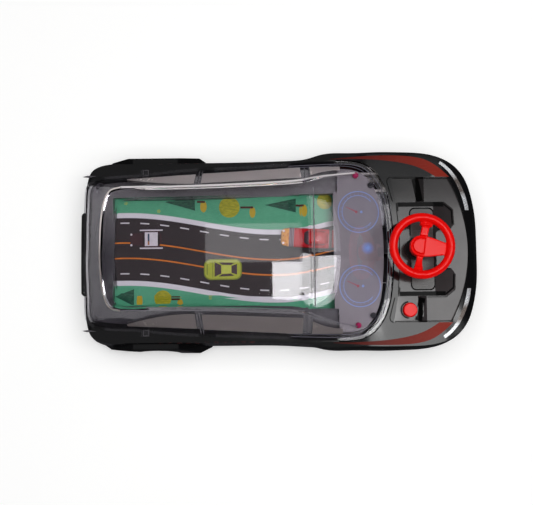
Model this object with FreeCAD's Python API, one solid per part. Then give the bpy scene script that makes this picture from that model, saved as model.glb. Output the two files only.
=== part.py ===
import FreeCAD, Part
import math
import os

# Tabletop racing game shaped like a car. Millimetres.
# X points to the bonnet, where the player sits, Y to the car's left, Z up.
# The origin is under the middle of the box that holds the whole toy, on the table.

V = FreeCAD.Vector

# ---------------------------------------------------------------- driving dimensions
FLOOR_Z = 2.0            # underside of the lower shell, on top of the rubber feet
FLOOR_TOP = 4.0
PARTING_Z = 30.0         # where lower and upper shell meet
BEZEL_TOP = 44.3         # the dark surround of the screen, just under the deck
DECK_Z = 46.5            # flat deck that carries the canopy
COWL_Z = 50.0            # highest line of the wings and the cowl
ROOF_EDGE_Z = 83.0
ROOF_TOP_Z = 86.5
WALL = 2.2

STEER_X = 102.5          # steering column axis, on Y = 0
RIM_Z = 76.0             # middle of the steering wheel rim
RIM_OUTER_R = 23.7
RIM_TUBE_R = 2.7
WHEEL_ANGLE = -8.5       # the wheel stands turned a little to the right at rest
ARM_ANGLE = -7.3         # and so does the lever that carries the car
CAR_YAW = -3.5
CAR_CENTRE = (22.4, 10.2)
ARM_Z = 38.5

ROLLER_R = 8.8
FILM_GAP = 0.05
FILM_T = 0.2
ROLLER_Z = 27.1
FRONT_ROLLER_X = 34.0
REAR_ROLLER_X = -115.0
FILM_HALF = 44.0
PLATE_Y = 45.5           # inner face of each side plate
PLATE_T = 2.0
AXLE_R = 1.5
RUNNING = 0.05           # radial clearance of a shaft in its bearing

MODULE = 0.7
BIG_TEETH = 30
SMALL_TEETH = 10
GEAR_W = 3.0
LAYER_Y = (48.0, 51.5, 55.0)
STAGE_ANGLES = (-14.0, -7.0, -7.0)
CENTRE_DIST = MODULE * (BIG_TEETH + SMALL_TEETH) / 2

BUTTON_X = 96.7
BUTTON_Y = -45.2
BUTTON_R = 5.2
BUTTON_TOP = 53.0

ROAD_WHEEL_R = 16.5
ROAD_WHEEL_Z = 17.0
ROAD_WHEEL_X = (-93.0, 98.0)
ARCH_R = 18.6
WELL_Y = 64.0

CELL_R = 7.1
CELL_L = 49.0
CELL_X0 = 89.0
BATTERY_X = (86.0, 141.0)
BATTERY_HALF = 24.5

# Half outlines seen from above: (x, half width) from the tail's middle to the nose's middle.
BODY_PLAN = [
    (-147.9, 0.0), (-147.9, 20.0), (-147.6, 38.0), (-145.8, 56.0), (-142.0, 64.2), (-134.0, 68.8),
    (-116.0, 70.4), (-80.0, 70.5), (-30.0, 70.6), (8.0, 71.4), (21.0, 72.4), (33.0, 73.8),
    (55.0, 74.8), (75.0, 75.3), (94.0, 75.0), (112.0, 73.6), (124.0, 70.2), (134.6, 63.4),
    (141.6, 54.2), (146.8, 38.4), (149.7, 20.4), (150.2, 0.0),
]
# Height, and how far the side leans in there behind and ahead of the wings' rear edge.
BODY_LEVELS = [
    (FLOOR_Z, 5.0, 6.0), (7.0, 1.4, 2.4), (14.0, 0.2, 1.0), (30.0, 0.7, 0.4), (40.0, 2.2, 0.0),
    (46.5, 3.3, 1.5), (52.0, 9.0, 5.2),
]
WING_START = (20.0, 32.0)
CANOPY_BASE = [
    (-144.5, 0.0), (-144.3, 20.0), (-143.6, 40.0), (-141.0, 52.0), (-133.0, 55.6), (-113.0, 57.2),
    (-79.0, 60.5), (-36.0, 62.6), (9.0, 64.8), (47.0, 66.0), (61.0, 64.5), (69.0, 60.0),
    (75.5, 52.0), (80.0, 41.5), (82.6, 27.0), (83.7, 14.0), (84.1, 0.0),
]
CANOPY_ROOF = [
    (-127.7, 0.0), (-127.0, 18.0), (-124.8, 33.0), (-120.5, 41.5), (-113.0, 44.0), (-95.0, 44.0),
    (-66.0, 44.2), (-30.0, 45.2), (3.0, 46.6), (17.0, 47.8), (21.5, 47.6), (23.4, 44.5),
    (24.2, 38.0), (24.7, 30.0), (25.0, 20.0), (25.2, 10.0), (25.3, 0.0),
]
# Side view of the top line: (x, z) from tail to nose.
TOP_LINE = [
    (-151.5, 26.0), (-150.2, 36.0), (-147.0, 42.5), (-141.0, 45.9), (-130.0, DECK_Z), (-60.0, DECK_Z),
    (10.0, DECK_Z), (32.0, 47.6), (60.0, COWL_Z), (88.0, COWL_Z), (112.0, 48.7), (130.0, 46.8),
    (139.0, 45.3), (146.0, 43.0), (149.8, 38.5), (151.4, 32.0), (151.8, 24.0),
]
# Console insert: left edge is an arc, right edge follows the nose.
CONSOLE_HALF = 54.3
CONSOLE_TOP = [(83.0, 49.2), (103.0, 49.2), (110.0, 45.8), (144.0, 43.6)]

os.makedirs("parts", exist_ok=True)


# ---------------------------------------------------------------- helpers
def save(shape, name):
    """Write one node."""
    shape.exportStep("parts/" + name + ".step")


def box(x0, x1, y0, y1, z0, z1):
    return Part.makeBox(x1 - x0, y1 - y0, z1 - z0, V(x0, y0, z0))


def post(x, y, z0, z1, r):
    """Upright cylinder."""
    return Part.makeCylinder(r, z1 - z0, V(x, y, z0))


def bar(x, z, y0, y1, r):
    """Cylinder along Y."""
    return Part.makeCylinder(r, y1 - y0, V(x, y0, z), V(0, 1, 0))


def tube(x, y, z0, z1, r_out, r_in):
    return post(x, y, z0, z1, r_out).cut(post(x, y, z0 - 1, z1 + 1, r_in))


def polygon(points):
    """Closed face through 3-D points joined by straight lines."""
    return Part.Face(Part.makePolygon(points + [points[0]]))


def side_prism(points, y0, y1):
    """Polygon in the XZ plane, extruded along Y."""
    return polygon([V(x, y0, z) for x, z in points]).extrude(V(0, y1 - y0, 0))


def plan_prism(points, z0, z1):
    """Polygon in the XY plane, extruded along Z."""
    return polygon([V(x, y, z0) for x, y in points]).extrude(V(0, 0, z1 - z0))


def both_sides(shape):
    """The shape and its mirror image across the middle plane."""
    return [shape, shape.mirror(V(0, 0, 0), V(0, 1, 0))]


def turned(shape, angle, x=STEER_X, y=0.0):
    """The shape turned about an upright axis."""
    copy = shape.copy()
    copy.rotate(V(x, y, 0), V(0, 0, 1), angle)
    return copy


def largest(shape):
    """The biggest solid of a shape, without slivers that a cut may leave."""
    return max(shape.Solids, key=lambda solid: solid.Volume)


def fused(shapes):
    return shapes[0].fuse(shapes[1:]).removeSplitter()


def ring_points(stations, inset):
    """Both halves of a plan outline as one ring, moved inwards by inset, a length or a function of x."""
    ring = [(x, h) for x, h in stations] + [(x, -h) for x, h in reversed(stations[1:-1])]
    out = []
    for i, (x, y) in enumerate(ring):
        xa, ya = ring[i - 1]
        xb, yb = ring[(i + 1) % len(ring)]
        dx, dy = xb - xa, yb - ya
        length = math.hypot(dx, dy)
        move = inset(x) if callable(inset) else inset
        out.append((x + move * dy / length, y - move * dx / length))
    return out


def ring_wire(stations, z, inset=0.0):
    """Smooth closed wire through a plan outline."""
    points = [V(x, y, z) for x, y in ring_points(stations, inset)]
    curve = Part.BSplineCurve()
    curve.interpolate(Points=points, PeriodicFlag=True)
    return Part.Wire([curve.toShape()])


def ring_solid(stations, z0, z1, inset=0.0):
    """Upright prism on a smooth plan outline."""
    return Part.Face(ring_wire(stations, z0, inset)).extrude(V(0, 0, z1 - z0))


def below_top_line(drop):
    """Solid under the smooth side-view top line, lowered by drop."""
    curve = Part.BSplineCurve()
    curve.interpolate([V(x, -90, z - drop) for x, z in TOP_LINE])
    first = V(TOP_LINE[0][0], -90, TOP_LINE[0][1] - drop)
    last = V(TOP_LINE[-1][0], -90, TOP_LINE[-1][1] - drop)
    base = [last, V(last.x, -90, -5), V(first.x, -90, -5), first]
    wire = Part.Wire([curve.toShape()] + Part.makePolygon(base).Edges)
    return Part.Face(wire).extrude(V(0, 180, 0))


# ---------------------------------------------------------------- car body, then its two shells
def lean(behind, ahead):
    """Inset that changes from the cabin's to the wings' value over the wings' rear edge."""
    x0, x1 = WING_START
    def at(x):
        t = min(1.0, max(0.0, (x - x0) / (x1 - x0)))
        return behind + (ahead - behind) * t
    return at


def body_volume(inset, top_drop, floor):
    """The car's outside, or with an inset its hollow."""
    rings = []
    for z, behind, ahead in BODY_LEVELS:
        level = max(z, floor)
        rings.append(ring_wire(BODY_PLAN, level, lean(behind + inset, ahead + inset)))
    return Part.makeLoft(rings, True, False).common(below_top_line(top_drop))


def tail_bumper():
    plan = [(-140, 31.5), (-147.6, 31.5), (-149.4, 29.5), (-150.0, 12.0), (-150.0, -12.0),
            (-149.4, -29.5), (-147.6, -31.5), (-140, -31.5)]
    profile = [(-140, 12), (-149.0, 12), (-150.2, 16), (-150.2, 34), (-149.0, 38), (-140, 38)]
    return plan_prism(plan, 10, 40).common(side_prism(profile, -40, 40))


def rear_flare():
    """Arch panel over a rear road wheel, standing proud of the body side."""
    x = ROAD_WHEEL_X[0]
    top = ROAD_WHEEL_Z + 22.0
    outline = [(x - 43, 8), (x - 34, 24), (x - 17, top), (x + 17, top), (x + 31, 24), (x + 42, 8)]
    slab = side_prism(outline, 60, 76)
    plan = [(x - 44, 60), (x - 44, 68.6), (x - 36, 72.2), (x - 8, 74.5), (x + 18, 75.5), (x + 32, 75.8),
            (x + 41, 71.4), (x + 41, 60)]
    lean_in = [(59, 0), (77, 0), (75.8, 20), (73.3, 36), (71.8, top), (59, top)]
    section = polygon([V(x - 44, y, z) for y, z in lean_in]).extrude(V(88, 0, 0))
    return slab.common(plan_prism(plan, 0, 60)).common(section)


def road_wheel_wells():
    liners = []
    wells = []
    for x in ROAD_WHEEL_X:
        liners += both_sides(bar(x, ROAD_WHEEL_Z, WELL_Y - 1.8, 76, ARCH_R + 1.6))
        wells += both_sides(bar(x, ROAD_WHEEL_Z, WELL_Y, 80, ARCH_R))
    return Part.makeCompound(liners), Part.makeCompound(wells)


def car_body():
    """Hollow body with wheel wells, and the plain outside used to fit trim to it."""
    outside = body_volume(0.0, 0.0, FLOOR_Z)
    flares = both_sides(rear_flare())
    outside = outside.fuse(flares + [tail_bumper()]).Solids[0]
    hollow = body_volume(WALL, WALL, FLOOR_TOP)
    liners, wells = road_wheel_wells()
    body = outside.cut(hollow).fuse(liners.common(outside)).cut(wells)
    return outside, body.Solids[0]


def console_outline(grow):
    """Plan outline of the bonnet panel that carries the controls."""
    half = CONSOLE_HALF + grow
    left = Part.Arc(V(84.6 - grow, half, 0), V(90.2 - grow, 0, 0), V(84.6 - grow, -half, 0))
    nose = Part.Arc(V(128.0, half, 0), V(142.3 + grow, 0, 0), V(128.0, -half, 0))
    top = Part.LineSegment(V(84.6 - grow, half, 0), V(128.0, half, 0))
    bottom = Part.LineSegment(V(84.6 - grow, -half, 0), V(128.0, -half, 0))
    return Part.Wire([left.toShape(), bottom.toShape(), nose.toShape(), top.toShape()])


def console_column(grow, z0, z1):
    face = Part.Face(console_outline(grow))
    face.translate(V(0, 0, z0))
    return face.extrude(V(0, 0, z1 - z0))


BLADE_OUTER = [(39.5, 68.9), (60.0, 70.3), (82.0, 70.9), (100.0, 70.0), (112.0, 67.2), (120.0, 62.6),
               (129.0, 54.7)]
BLADE_INNER = [(39.5, 68.7), (60.0, 68.4), (82.0, 66.9), (97.0, 64.4), (108.0, 60.8), (115.0, 57.0),
               (118.6, 54.7)]


def spline_band(outer, inner, z0, z1):
    """Prism on the strip between two smooth plan curves."""
    a = Part.BSplineCurve()
    a.interpolate([V(x, y, z0) for x, y in outer])
    b = Part.BSplineCurve()
    b.interpolate([V(x, y, z0) for x, y in inner])
    start = Part.LineSegment(V(*inner[0], z0), V(*outer[0], z0))
    end = Part.LineSegment(V(*outer[-1], z0), V(*inner[-1], z0))
    edges = [a.toShape(), end.toShape(), b.toShape(), start.toShape()]
    wire = Part.Wire(Part.sortEdges(edges)[0])
    return Part.Face(wire).extrude(V(0, 0, z1 - z0))


LAMP_OUTER = [(122.6, 66.4), (128.5, 62.0), (134.0, 55.6), (138.6, 47.4), (141.8, 39.0), (143.8, 29.5)]
LAMP_INNER = [(121.4, 64.6), (126.6, 60.6), (131.6, 54.6), (135.8, 46.8), (138.8, 38.6), (140.9, 29.5)]

# x, y and the height at which each screw post meets the inside of the deck.
CASE_SCREWS = [(-128.0, 59.0, 45.0), (-20.0, 61.0, 44.9), (124.0, 55.0, 42.0)]
POST_R = 3.8


def case_screw_places():
    return [(x, s * y) for x, y, top in CASE_SCREWS for s in (1, -1)]


def upper_shell(body):
    shell = body.common(box(-160, 160, -90, 90, PARTING_Z, 60))
    rebate = ring_solid(CANOPY_BASE, DECK_Z, 60, -2.0)
    well = ring_solid(CANOPY_BASE, 40, 60, 5.0)
    shell = shell.cut(rebate).cut(well)
    shell = shell.cut(console_column(0.2, 38, 60))
    recess = both_sides(spline_band(BLADE_OUTER, BLADE_INNER, 43.0, 60))
    recess += both_sides(spline_band(LAMP_OUTER, LAMP_INNER, 36.0, 60))
    shell = shell.cut(recess)
    posts = [post(x, s * y, PARTING_Z, top, POST_R) for x, y, top in CASE_SCREWS for s in (1, -1)]
    front_x, front_y, _ = CASE_SCREWS[-1]
    posts += both_sides(box(front_x - 1.5, front_x + 1.5, front_y, front_y + 12.5, PARTING_Z, 35.5))
    shell = shell.fuse(posts)
    holes = [post(x, y, PARTING_Z - 1, 40.0, 1.25) for x, y in case_screw_places()]
    return largest(shell.cut(holes))


def fender_trim(outside, side):
    band = outside.common(spline_band(BLADE_OUTER, BLADE_INNER, 43.0, 60))
    return both_sides(band)[side]


def headlight_lens(outside, side):
    return both_sides(outside.common(spline_band(LAMP_OUTER, LAMP_INNER, 36.0, 60)))[side]


# ---------------------------------------------------------------- lower shell and what it holds
SPEAKER_X = -60.0
SWITCH_X = 60.0
SWITCH_Y = -34.0
DOOR_X = (79.0, 139.5)
DOOR_SCREW_X = 82.5


def speaker_holes():
    holes = [post(SPEAKER_X, 0, 0, 6, 1.5)]
    for ring, count in ((6.0, 6), (12.0, 12)):
        for i in range(count):
            a = 2 * math.pi * i / count
            holes.append(post(SPEAKER_X + ring * math.cos(a), ring * math.sin(a), 0, 6, 1.5))
    return holes


def lower_shell(body):
    shell = body.common(box(-160, 160, -90, 90, 0, PARTING_Z))
    x0, x1 = BATTERY_X
    walls = box(x0, x1, -BATTERY_HALF, BATTERY_HALF, FLOOR_TOP, 21.5)
    walls = walls.cut(box(x0 + 1.3, x1 - 1.3, -BATTERY_HALF + 1.3, BATTERY_HALF - 1.3, 0, 20.0))
    posts = [post(x, y, FLOOR_Z, PARTING_Z, POST_R) for x, y in case_screw_places()]
    posts.append(post(DOOR_SCREW_X, 0, FLOOR_TOP, 12.0, 3.6))
    speaker_wall = tube(SPEAKER_X, 0, FLOOR_TOP, 8.0, 20.5, 18.6)
    shell = shell.fuse([walls, speaker_wall] + posts)
    shell = shell.cut(box(DOOR_X[0], DOOR_X[1], -22.6, 22.6, 0, FLOOR_TOP))
    shell = shell.cut([post(x, y, 0, 31, 1.5) for x, y in case_screw_places()])
    shell = shell.cut([post(x, y, 0, FLOOR_TOP + 1.2, 3.3) for x, y in case_screw_places()])
    shell = shell.cut(speaker_holes())
    shell = shell.cut(post(DOOR_SCREW_X, 0, 0, 11.0, 1.25))
    shell = shell.cut(box(SWITCH_X - 6, SWITCH_X + 6, SWITCH_Y - 2.6, SWITCH_Y + 2.6, 0, FLOOR_TOP))
    return largest(shell)


def battery_door():
    plate = box(DOOR_X[0] + 0.3, DOOR_X[1] - 0.3, -22.3, 22.3, FLOOR_Z, FLOOR_TOP - 0.2)
    grips = [box(128 + 3 * i, 129 + 3 * i, -8, 8, FLOOR_Z - 0.1, FLOOR_Z + 0.5) for i in range(3)]
    hole = post(DOOR_SCREW_X, 0, 0, 6, 1.5).fuse(post(DOOR_SCREW_X, 0, 0, 3.0, 2.8))
    return plate.cut(grips).cut(hole)


def screw(x, y, z_head, length, head_r, shank_r, head_h, up=True):
    """Pan-head screw with a cross recess; its shank runs up, or down, from its head."""
    s = 1 if up else -1
    head = Part.makeCylinder(head_r, head_h, V(x, y, z_head), V(0, 0, s))
    shank = Part.makeCylinder(shank_r, length, V(x, y, z_head + s * head_h), V(0, 0, s))
    depth = head_h * 0.5
    z_slot = z_head if up else z_head - depth
    cross = [box(x - head_r * 0.7, x + head_r * 0.7, y - 0.3, y + 0.3, z_slot, z_slot + depth),
             box(x - 0.3, x + 0.3, y - head_r * 0.7, y + head_r * 0.7, z_slot, z_slot + depth)]
    return head.fuse(shank).cut(cross)


CANOPY_SCREWS = [(-134.0, 46.5), (-134.0, -46.5)]
PANEL_SCREWS = [(69.6, 48.8), (69.6, -48.8)]


def batteries():
    cells = []
    for y in (-15.2, 0.0, 15.2):
        can = Part.makeCylinder(CELL_R, CELL_L, V(CELL_X0, y, 11.8), V(1, 0, 0))
        tip = Part.makeCylinder(2.6, 1.0, V(CELL_X0 + CELL_L, y, 11.8), V(1, 0, 0))
        cells.append(can.fuse(tip))
    return cells


def battery_contacts():
    """Flat plates at the front wall and coil-shaped pads at the rear wall."""
    parts = []
    for y in (-15.2, 0.0, 15.2):
        parts.append(box(139.1, 139.6, y - 4, y + 4, 6.5, 17.0))
        cone = Part.makeCone(4.2, 2.2, 1.5, V(87.4, y, 11.8), V(1, 0, 0))
        parts.append(cone.cut(Part.makeCone(3.4, 1.4, 1.5, V(87.4, y, 11.8), V(1, 0, 0))))
    return parts


def main_pcb():
    board = box(96, 134, -23, 23, 24.0, 25.6)
    feet = [box(x, x + 3, y - 1.5, y + 1.5, 21.5, 24.0) for x in (98, 129) for y in (-20, 20)]
    return fused([board] + feet)


def pcb_components():
    z = 25.6
    return [box(108, 117, -6, 6, z, z + 2.0), post(124, 12, z, z + 7, 3.0), post(124, -12, z, z + 7, 3.0),
            box(100, 104, 8, 18, z, z + 5.5), box(100, 104, -18, -8, z, z + 5.5),
            box(118, 120, -4, 4, z, z + 1.2)]


def speaker():
    frame = tube(SPEAKER_X, 0, FLOOR_TOP, 5.6, 18.3, 15.5)
    cone = Part.makeCone(17.0, 8.0, 4.5, V(SPEAKER_X, 0, FLOOR_TOP + 0.6))
    cone = cone.cut(Part.makeCone(14.5, 6.5, 4.4, V(SPEAKER_X, 0, FLOOR_TOP + 0.5)))
    basket = Part.makeCone(18.3, 11.0, 4.0, V(SPEAKER_X, 0, 5.6))
    basket = basket.cut(Part.makeCone(16.5, 8.5, 4.0, V(SPEAKER_X, 0, 5.6)))
    magnet = post(SPEAKER_X, 0, 9.6, 14.6, 11.0)
    return fused([frame.fuse(cone), basket, magnet])


def power_switch_body():
    can = box(SWITCH_X - 9, SWITCH_X + 9, SWITCH_Y - 4.5, SWITCH_Y + 4.5, FLOOR_TOP, 11.0)
    return can.cut(box(SWITCH_X - 6.5, SWITCH_X + 6.5, SWITCH_Y - 3.0, SWITCH_Y + 3.0, 0, 9.0))


def power_slider():
    """Thumb slide on the underside; it rests in its off place and travels towards +X."""
    x = SWITCH_X - 2.5
    knob = box(x - 2.5, x + 2.5, SWITCH_Y - 2.0, SWITCH_Y + 2.0, 0.7, 8.4)
    ribs = [box(x - 1.8 + 1.4 * i, x - 1.2 + 1.4 * i, SWITCH_Y - 2.0, SWITCH_Y + 2.0, 0.7, 1.1)
            for i in range(3)]
    return knob.cut(ribs)


def rubber_feet():
    places = [(-134, 46), (-134, -46), (131, 39), (131, -39)]
    return [post(x, y, 0.0, FLOOR_Z, 5.0) for x, y in places]


def tyres():
    out = []
    for x in ROAD_WHEEL_X:
        ring = bar(x, ROAD_WHEEL_Z, 65.0, 72.4, ROAD_WHEEL_R).cut(bar(x, ROAD_WHEEL_Z, 60, 80, 11.0))
        edges = [e for e in ring.Edges if abs(e.BoundBox.XLength - 2 * ROAD_WHEEL_R) < 0.1]
        out += both_sides(ring.makeFillet(1.8, edges))
    return out


def hubcaps():
    out = []
    for x in ROAD_WHEEL_X:
        disc = bar(x, ROAD_WHEEL_Z, WELL_Y, 72.0, 11.0)
        disc = disc.cut(bar(x, ROAD_WHEEL_Z, 70.2, 80, 9.6))
        spokes = [bar(x, ROAD_WHEEL_Z, 69, 72.0, 2.6)]
        for i in range(5):
            arm = box(x - 1.5, x + 1.5, 69, 71.6, ROAD_WHEEL_Z, ROAD_WHEEL_Z + 10.2)
            arm.rotate(V(x, 0, ROAD_WHEEL_Z), V(0, 1, 0), 72 * i + 18)
            spokes.append(arm)
        out += both_sides(fused([disc] + spokes))
    return out


# ---------------------------------------------------------------- screen, film and its drive
def screen_bezel():
    plate = ring_solid(CANOPY_BASE, BEZEL_TOP - 2.0, BEZEL_TOP, 2.2).common(box(-160, 44.0, -80, 80, 0, 60))
    plate = plate.common(body_volume(WALL + 0.1, WALL, FLOOR_TOP))
    opening = screen_opening(0.0, 30, 60)
    skirt = screen_opening(1.6, 37.2, BEZEL_TOP - 2.0).cut(box(43.0, 60, -80, 80, 0, 60))
    screws = [post(x, y, 40, 60, 1.25) for x, y in CANOPY_SCREWS]
    screws += [post(x, y, 40, 60, POST_R + 0.3) for x, y in case_screw_places()]
    return plate.fuse(skirt).cut(opening).cut(screws).removeSplitter()


def screen_opening(grow, z0, z1):
    """Rounded window over the film; it runs on under the instrument panel."""
    x0, r = -124.3 - grow, 1.5 + grow
    rear, front = 42.0 + grow, 43.4 + grow
    left = Part.makePolygon([V(60, front, z0), V(60, -front, z0)])
    lower = Part.LineSegment(V(60, -front, z0), V(x0 + r, -rear, z0)).toShape()
    upper = Part.LineSegment(V(x0 + r, rear, z0), V(60, front, z0)).toShape()
    back = Part.LineSegment(V(x0, -rear + r, z0), V(x0, rear - r, z0)).toShape()
    k = r * (1 - math.sqrt(0.5))
    corner_a = Part.Arc(V(x0 + r, -rear, z0), V(x0 + k, -rear + k, z0), V(x0, -rear + r, z0)).toShape()
    corner_b = Part.Arc(V(x0, rear - r, z0), V(x0 + k, rear - k, z0), V(x0 + r, rear, z0)).toShape()
    wire = Part.Wire(left.Edges + [lower, corner_a, back, corner_b, upper])
    return Part.Face(wire).extrude(V(0, 0, z1 - z0))


PANEL_TOP = [(44.0, 49.4), (80.5, 44.6)]
PANEL_T = 1.8


def instrument_panel():
    (x0, z0), (x1, z1) = PANEL_TOP
    slab = side_prism([(x0, z0), (x1, z1), (x1, z1 - PANEL_T), (x0, z0 - PANEL_T)], -80, 80)
    panel = slab.common(ring_solid(CANOPY_BASE, 30, 60, 5.4))
    holes = [post(x, y, 30, 60, 2.3) for x, y in LED_PLACES]
    holes += [post(x, y, 30, 60, 1.3) for x, y in PANEL_SCREWS]
    holes.append(post(66.5, 1.5, 30, 60, 1.6))
    return panel.cut(holes)


LED_PLACES = [(58.2, 56.0), (58.2, -56.0)]


def panel_height(x):
    (x0, z0), (x1, z1) = PANEL_TOP
    return z0 + (z1 - z0) * (x - x0) / (x1 - x0)


def corner_leds():
    out = []
    for x, y in LED_PLACES:
        dome = Part.makeSphere(2.2, V(x, y, 50.0)).fuse(post(x, y, 43.5, 50.0, 2.2))
        out.append(dome.removeSplitter())
    return out


def panel_led():
    top = panel_height(66.5) + 0.3
    return post(66.5, 1.5, top - 6.0, top, 1.5)


def panel_screws():
    out = []
    for x, y in PANEL_SCREWS:
        z = panel_height(x)
        out.append(screw(x, y, z + 2.0, 7.0, 2.2, 1.2, 1.6, up=False))
    return out


def road_film():
    """Endless printed band round both rollers."""
    r0 = ROLLER_R + FILM_GAP
    def stadium(r, half):
        ends = [bar(x, ROLLER_Z, -half, half, r) for x in (REAR_ROLLER_X, FRONT_ROLLER_X)]
        middle = box(REAR_ROLLER_X, FRONT_ROLLER_X, -half, half, ROLLER_Z - r, ROLLER_Z + r)
        return fused(ends + [middle])
    return stadium(r0 + FILM_T, FILM_HALF).cut(stadium(r0, FILM_HALF + 1))


def film_support_plate():
    z = ROLLER_Z + ROLLER_R - 0.25
    plate = box(-103, 22, -PLATE_Y, PLATE_Y, z - 1.4, z)
    ribs = [box(x, x + 1.5, -PLATE_Y, PLATE_Y, z - 5.0, z - 1.4) for x in (-80.0, -41.0, -2.0)]
    return fused([plate] + ribs)


def gear_centres():
    """Axes of the roller gear, the two double gears and the motor, in the XZ plane."""
    centres = [(FRONT_ROLLER_X, ROLLER_Z)]
    for angle in STAGE_ANGLES:
        x, z = centres[-1]
        a = math.radians(angle)
        centres.append((x + CENTRE_DIST * math.cos(a), z + CENTRE_DIST * math.sin(a)))
    return centres


def side_plate(side):
    """Chassis wall that carries the roller axles; the left one also carries the gear train."""
    front = 87.0 if side > 0 else 46.0
    y0 = PLATE_Y if side > 0 else -PLATE_Y - PLATE_T
    y1 = y0 + PLATE_T
    wall = side_prism([(-127, FLOOR_TOP), (-127, 35.0), (front, 35.0), (front, FLOOR_TOP)], y0, y1)
    for x in (-96.0, -68.0, -40.0, -12.0):
        window = side_prism([(x, 12), (x + 4, 28), (x + 16, 28), (x + 20, 12)], y0 - 1, y1 + 1)
        wall = wall.cut(window)
    holes = [bar(x, ROLLER_Z, y0 - 1, y1 + 1, AXLE_R + RUNNING) for x in (REAR_ROLLER_X, FRONT_ROLLER_X)]
    if side > 0:
        motor_x, motor_z = gear_centres()[3]
        holes.append(bar(motor_x, motor_z, y0 - 1, y1 + 1, 3.1))
        holes += [bar(x, z, y0 - 1, y1 + 1, AXLE_R) for x, z in gear_centres()[1:3]]
        holes += [bar(x, z, y0 - 1, y1 + 1, 1.2) for x, z in COVER_POSTS]
    return wall.cut(holes)


def roller(x):
    return bar(x, ROLLER_Z, -44.8, 44.8, ROLLER_R).cut(bar(x, ROLLER_Z, -50, 50, AXLE_R))


def roller_axle(x, y1):
    return bar(x, ROLLER_Z, -PLATE_Y - PLATE_T - 0.8, y1, AXLE_R)


def involute_point(base_r, r, half_tooth, sign):
    """Polar angle of a tooth flank at radius r, measured from the middle of the tooth."""
    pitch_angle = math.radians(20)
    def inv(angle):
        return math.tan(angle) - angle
    at_r = math.acos(min(1.0, base_r / r))
    return sign * (half_tooth + inv(pitch_angle) - inv(at_r))


def spur_gear(cx, cz, y0, teeth, tooth_at, bore, width=GEAR_W):
    """Involute spur gear on an axis along Y; tooth_at is the angle of one tooth's middle."""
    pitch_r = MODULE * teeth / 2
    base_r = pitch_r * math.cos(math.radians(20))
    tip_r = pitch_r + 0.8 * MODULE
    root_r = pitch_r - 1.05 * MODULE
    half_tooth = math.pi / (2 * teeth) * 0.90
    radii = [max(root_r, base_r) + (tip_r - max(root_r, base_r)) * t for t in (0.0, 0.33, 0.67, 1.0)]
    points = []
    for k in range(teeth):
        middle = math.radians(tooth_at) + 2 * math.pi * k / teeth
        flank = [(r, involute_point(base_r, r, half_tooth, -1)) for r in radii]
        if base_r > root_r:
            flank.insert(0, (root_r, flank[0][1]))
        flank += [(r, -a) for r, a in reversed(flank)]
        points += [(cx + r * math.cos(middle + a), cz + r * math.sin(middle + a)) for r, a in flank]
    return side_prism(points, y0, y0 + width).cut(bar(cx, cz, y0 - 1, y0 + width + 1, bore))


def roller_gear():
    x, z = gear_centres()[0]
    return spur_gear(x, z, LAYER_Y[0], BIG_TEETH, STAGE_ANGLES[0], AXLE_R)


def double_gear(stage):
    """Small gear driven side in, big gear side out, on a fixed pin."""
    x, z = gear_centres()[stage]
    gap_at = STAGE_ANGLES[stage - 1] + 180.0
    bore = AXLE_R + RUNNING
    small = spur_gear(x, z, LAYER_Y[stage - 1], SMALL_TEETH, gap_at + 180.0 / SMALL_TEETH, bore,
                      LAYER_Y[stage] - LAYER_Y[stage - 1])
    big = spur_gear(x, z, LAYER_Y[stage], BIG_TEETH, STAGE_ANGLES[stage], bore)
    return small.fuse(big).removeSplitter()


def motor_pinion():
    x, z = gear_centres()[3]
    gap_at = STAGE_ANGLES[2] + 180.0
    return spur_gear(x, z, LAYER_Y[2], SMALL_TEETH, gap_at + 180.0 / SMALL_TEETH, 1.0)


COVER_POSTS = [(30.0, 9.0), (54.0, 9.0), (84.0, 31.0), (84.0, 9.0)]
COVER_Y = 58.7


def gear_pins():
    return [bar(x, z, PLATE_Y, COVER_Y, AXLE_R) for x, z in gear_centres()[1:3]]


def gearbox_cover():
    plate = side_prism([(26, 6), (26, 17), (40, 36.0), (87, 36.0), (87, 6)], COVER_Y, COVER_Y + 1.6)
    posts = [bar(x, z, PLATE_Y + PLATE_T, COVER_Y, 2.4) for x, z in COVER_POSTS]
    return fused([plate] + posts)


def gearbox_screws():
    out = []
    for x, z in COVER_POSTS:
        shank = bar(x, z, PLATE_Y, PLATE_Y + PLATE_T, 1.2)
        head = bar(x, z, PLATE_Y - 1.2, PLATE_Y, 2.2)
        out.append(head.fuse(shank))
    return out


def motor_can():
    x, z = gear_centres()[3]
    can = bar(x, z, 20.5, PLATE_Y, 10.0).common(box(x - 11, x + 11, 0, 60, z - 7.6, z + 7.6))
    boss = bar(x, z, PLATE_Y, PLATE_Y + 1.6, 3.0)
    return can.fuse(boss).cut(bar(x, z, 24, 60, 1.0 + RUNNING))


def motor_shaft():
    x, z = gear_centres()[3]
    return bar(x, z, 25.0, LAYER_Y[2] + GEAR_W, 1.0)


# ---------------------------------------------------------------- bonnet console and its controls
def block_plan(inset):
    """Raised middle block with cut front corners and a notch facing the player."""
    i = inset
    x0, x1 = 88.6 + i, 131.5 - i
    half, notch = 35.0 - i, 14.5 + i
    return [(x0, -half), (x1 - 7, -half), (x1, -half + 5.5), (x1, -notch - 4), (x1 - 3, -notch),
            (118.5 + i, -notch + 1), (116.5 + i, -notch + 4), (116.5 + i, notch - 4),
            (118.5 + i, notch - 1), (x1 - 3, notch), (x1, notch + 4), (x1, half - 5.5),
            (x1 - 7, half), (x0, half)]


def block_profile(drop):
    top = 51.6 - drop
    return [(86.0, 44.0), (86.0, top), (115.5, top), (132.5, 47.4 - drop), (132.5, 44.0)]


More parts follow.
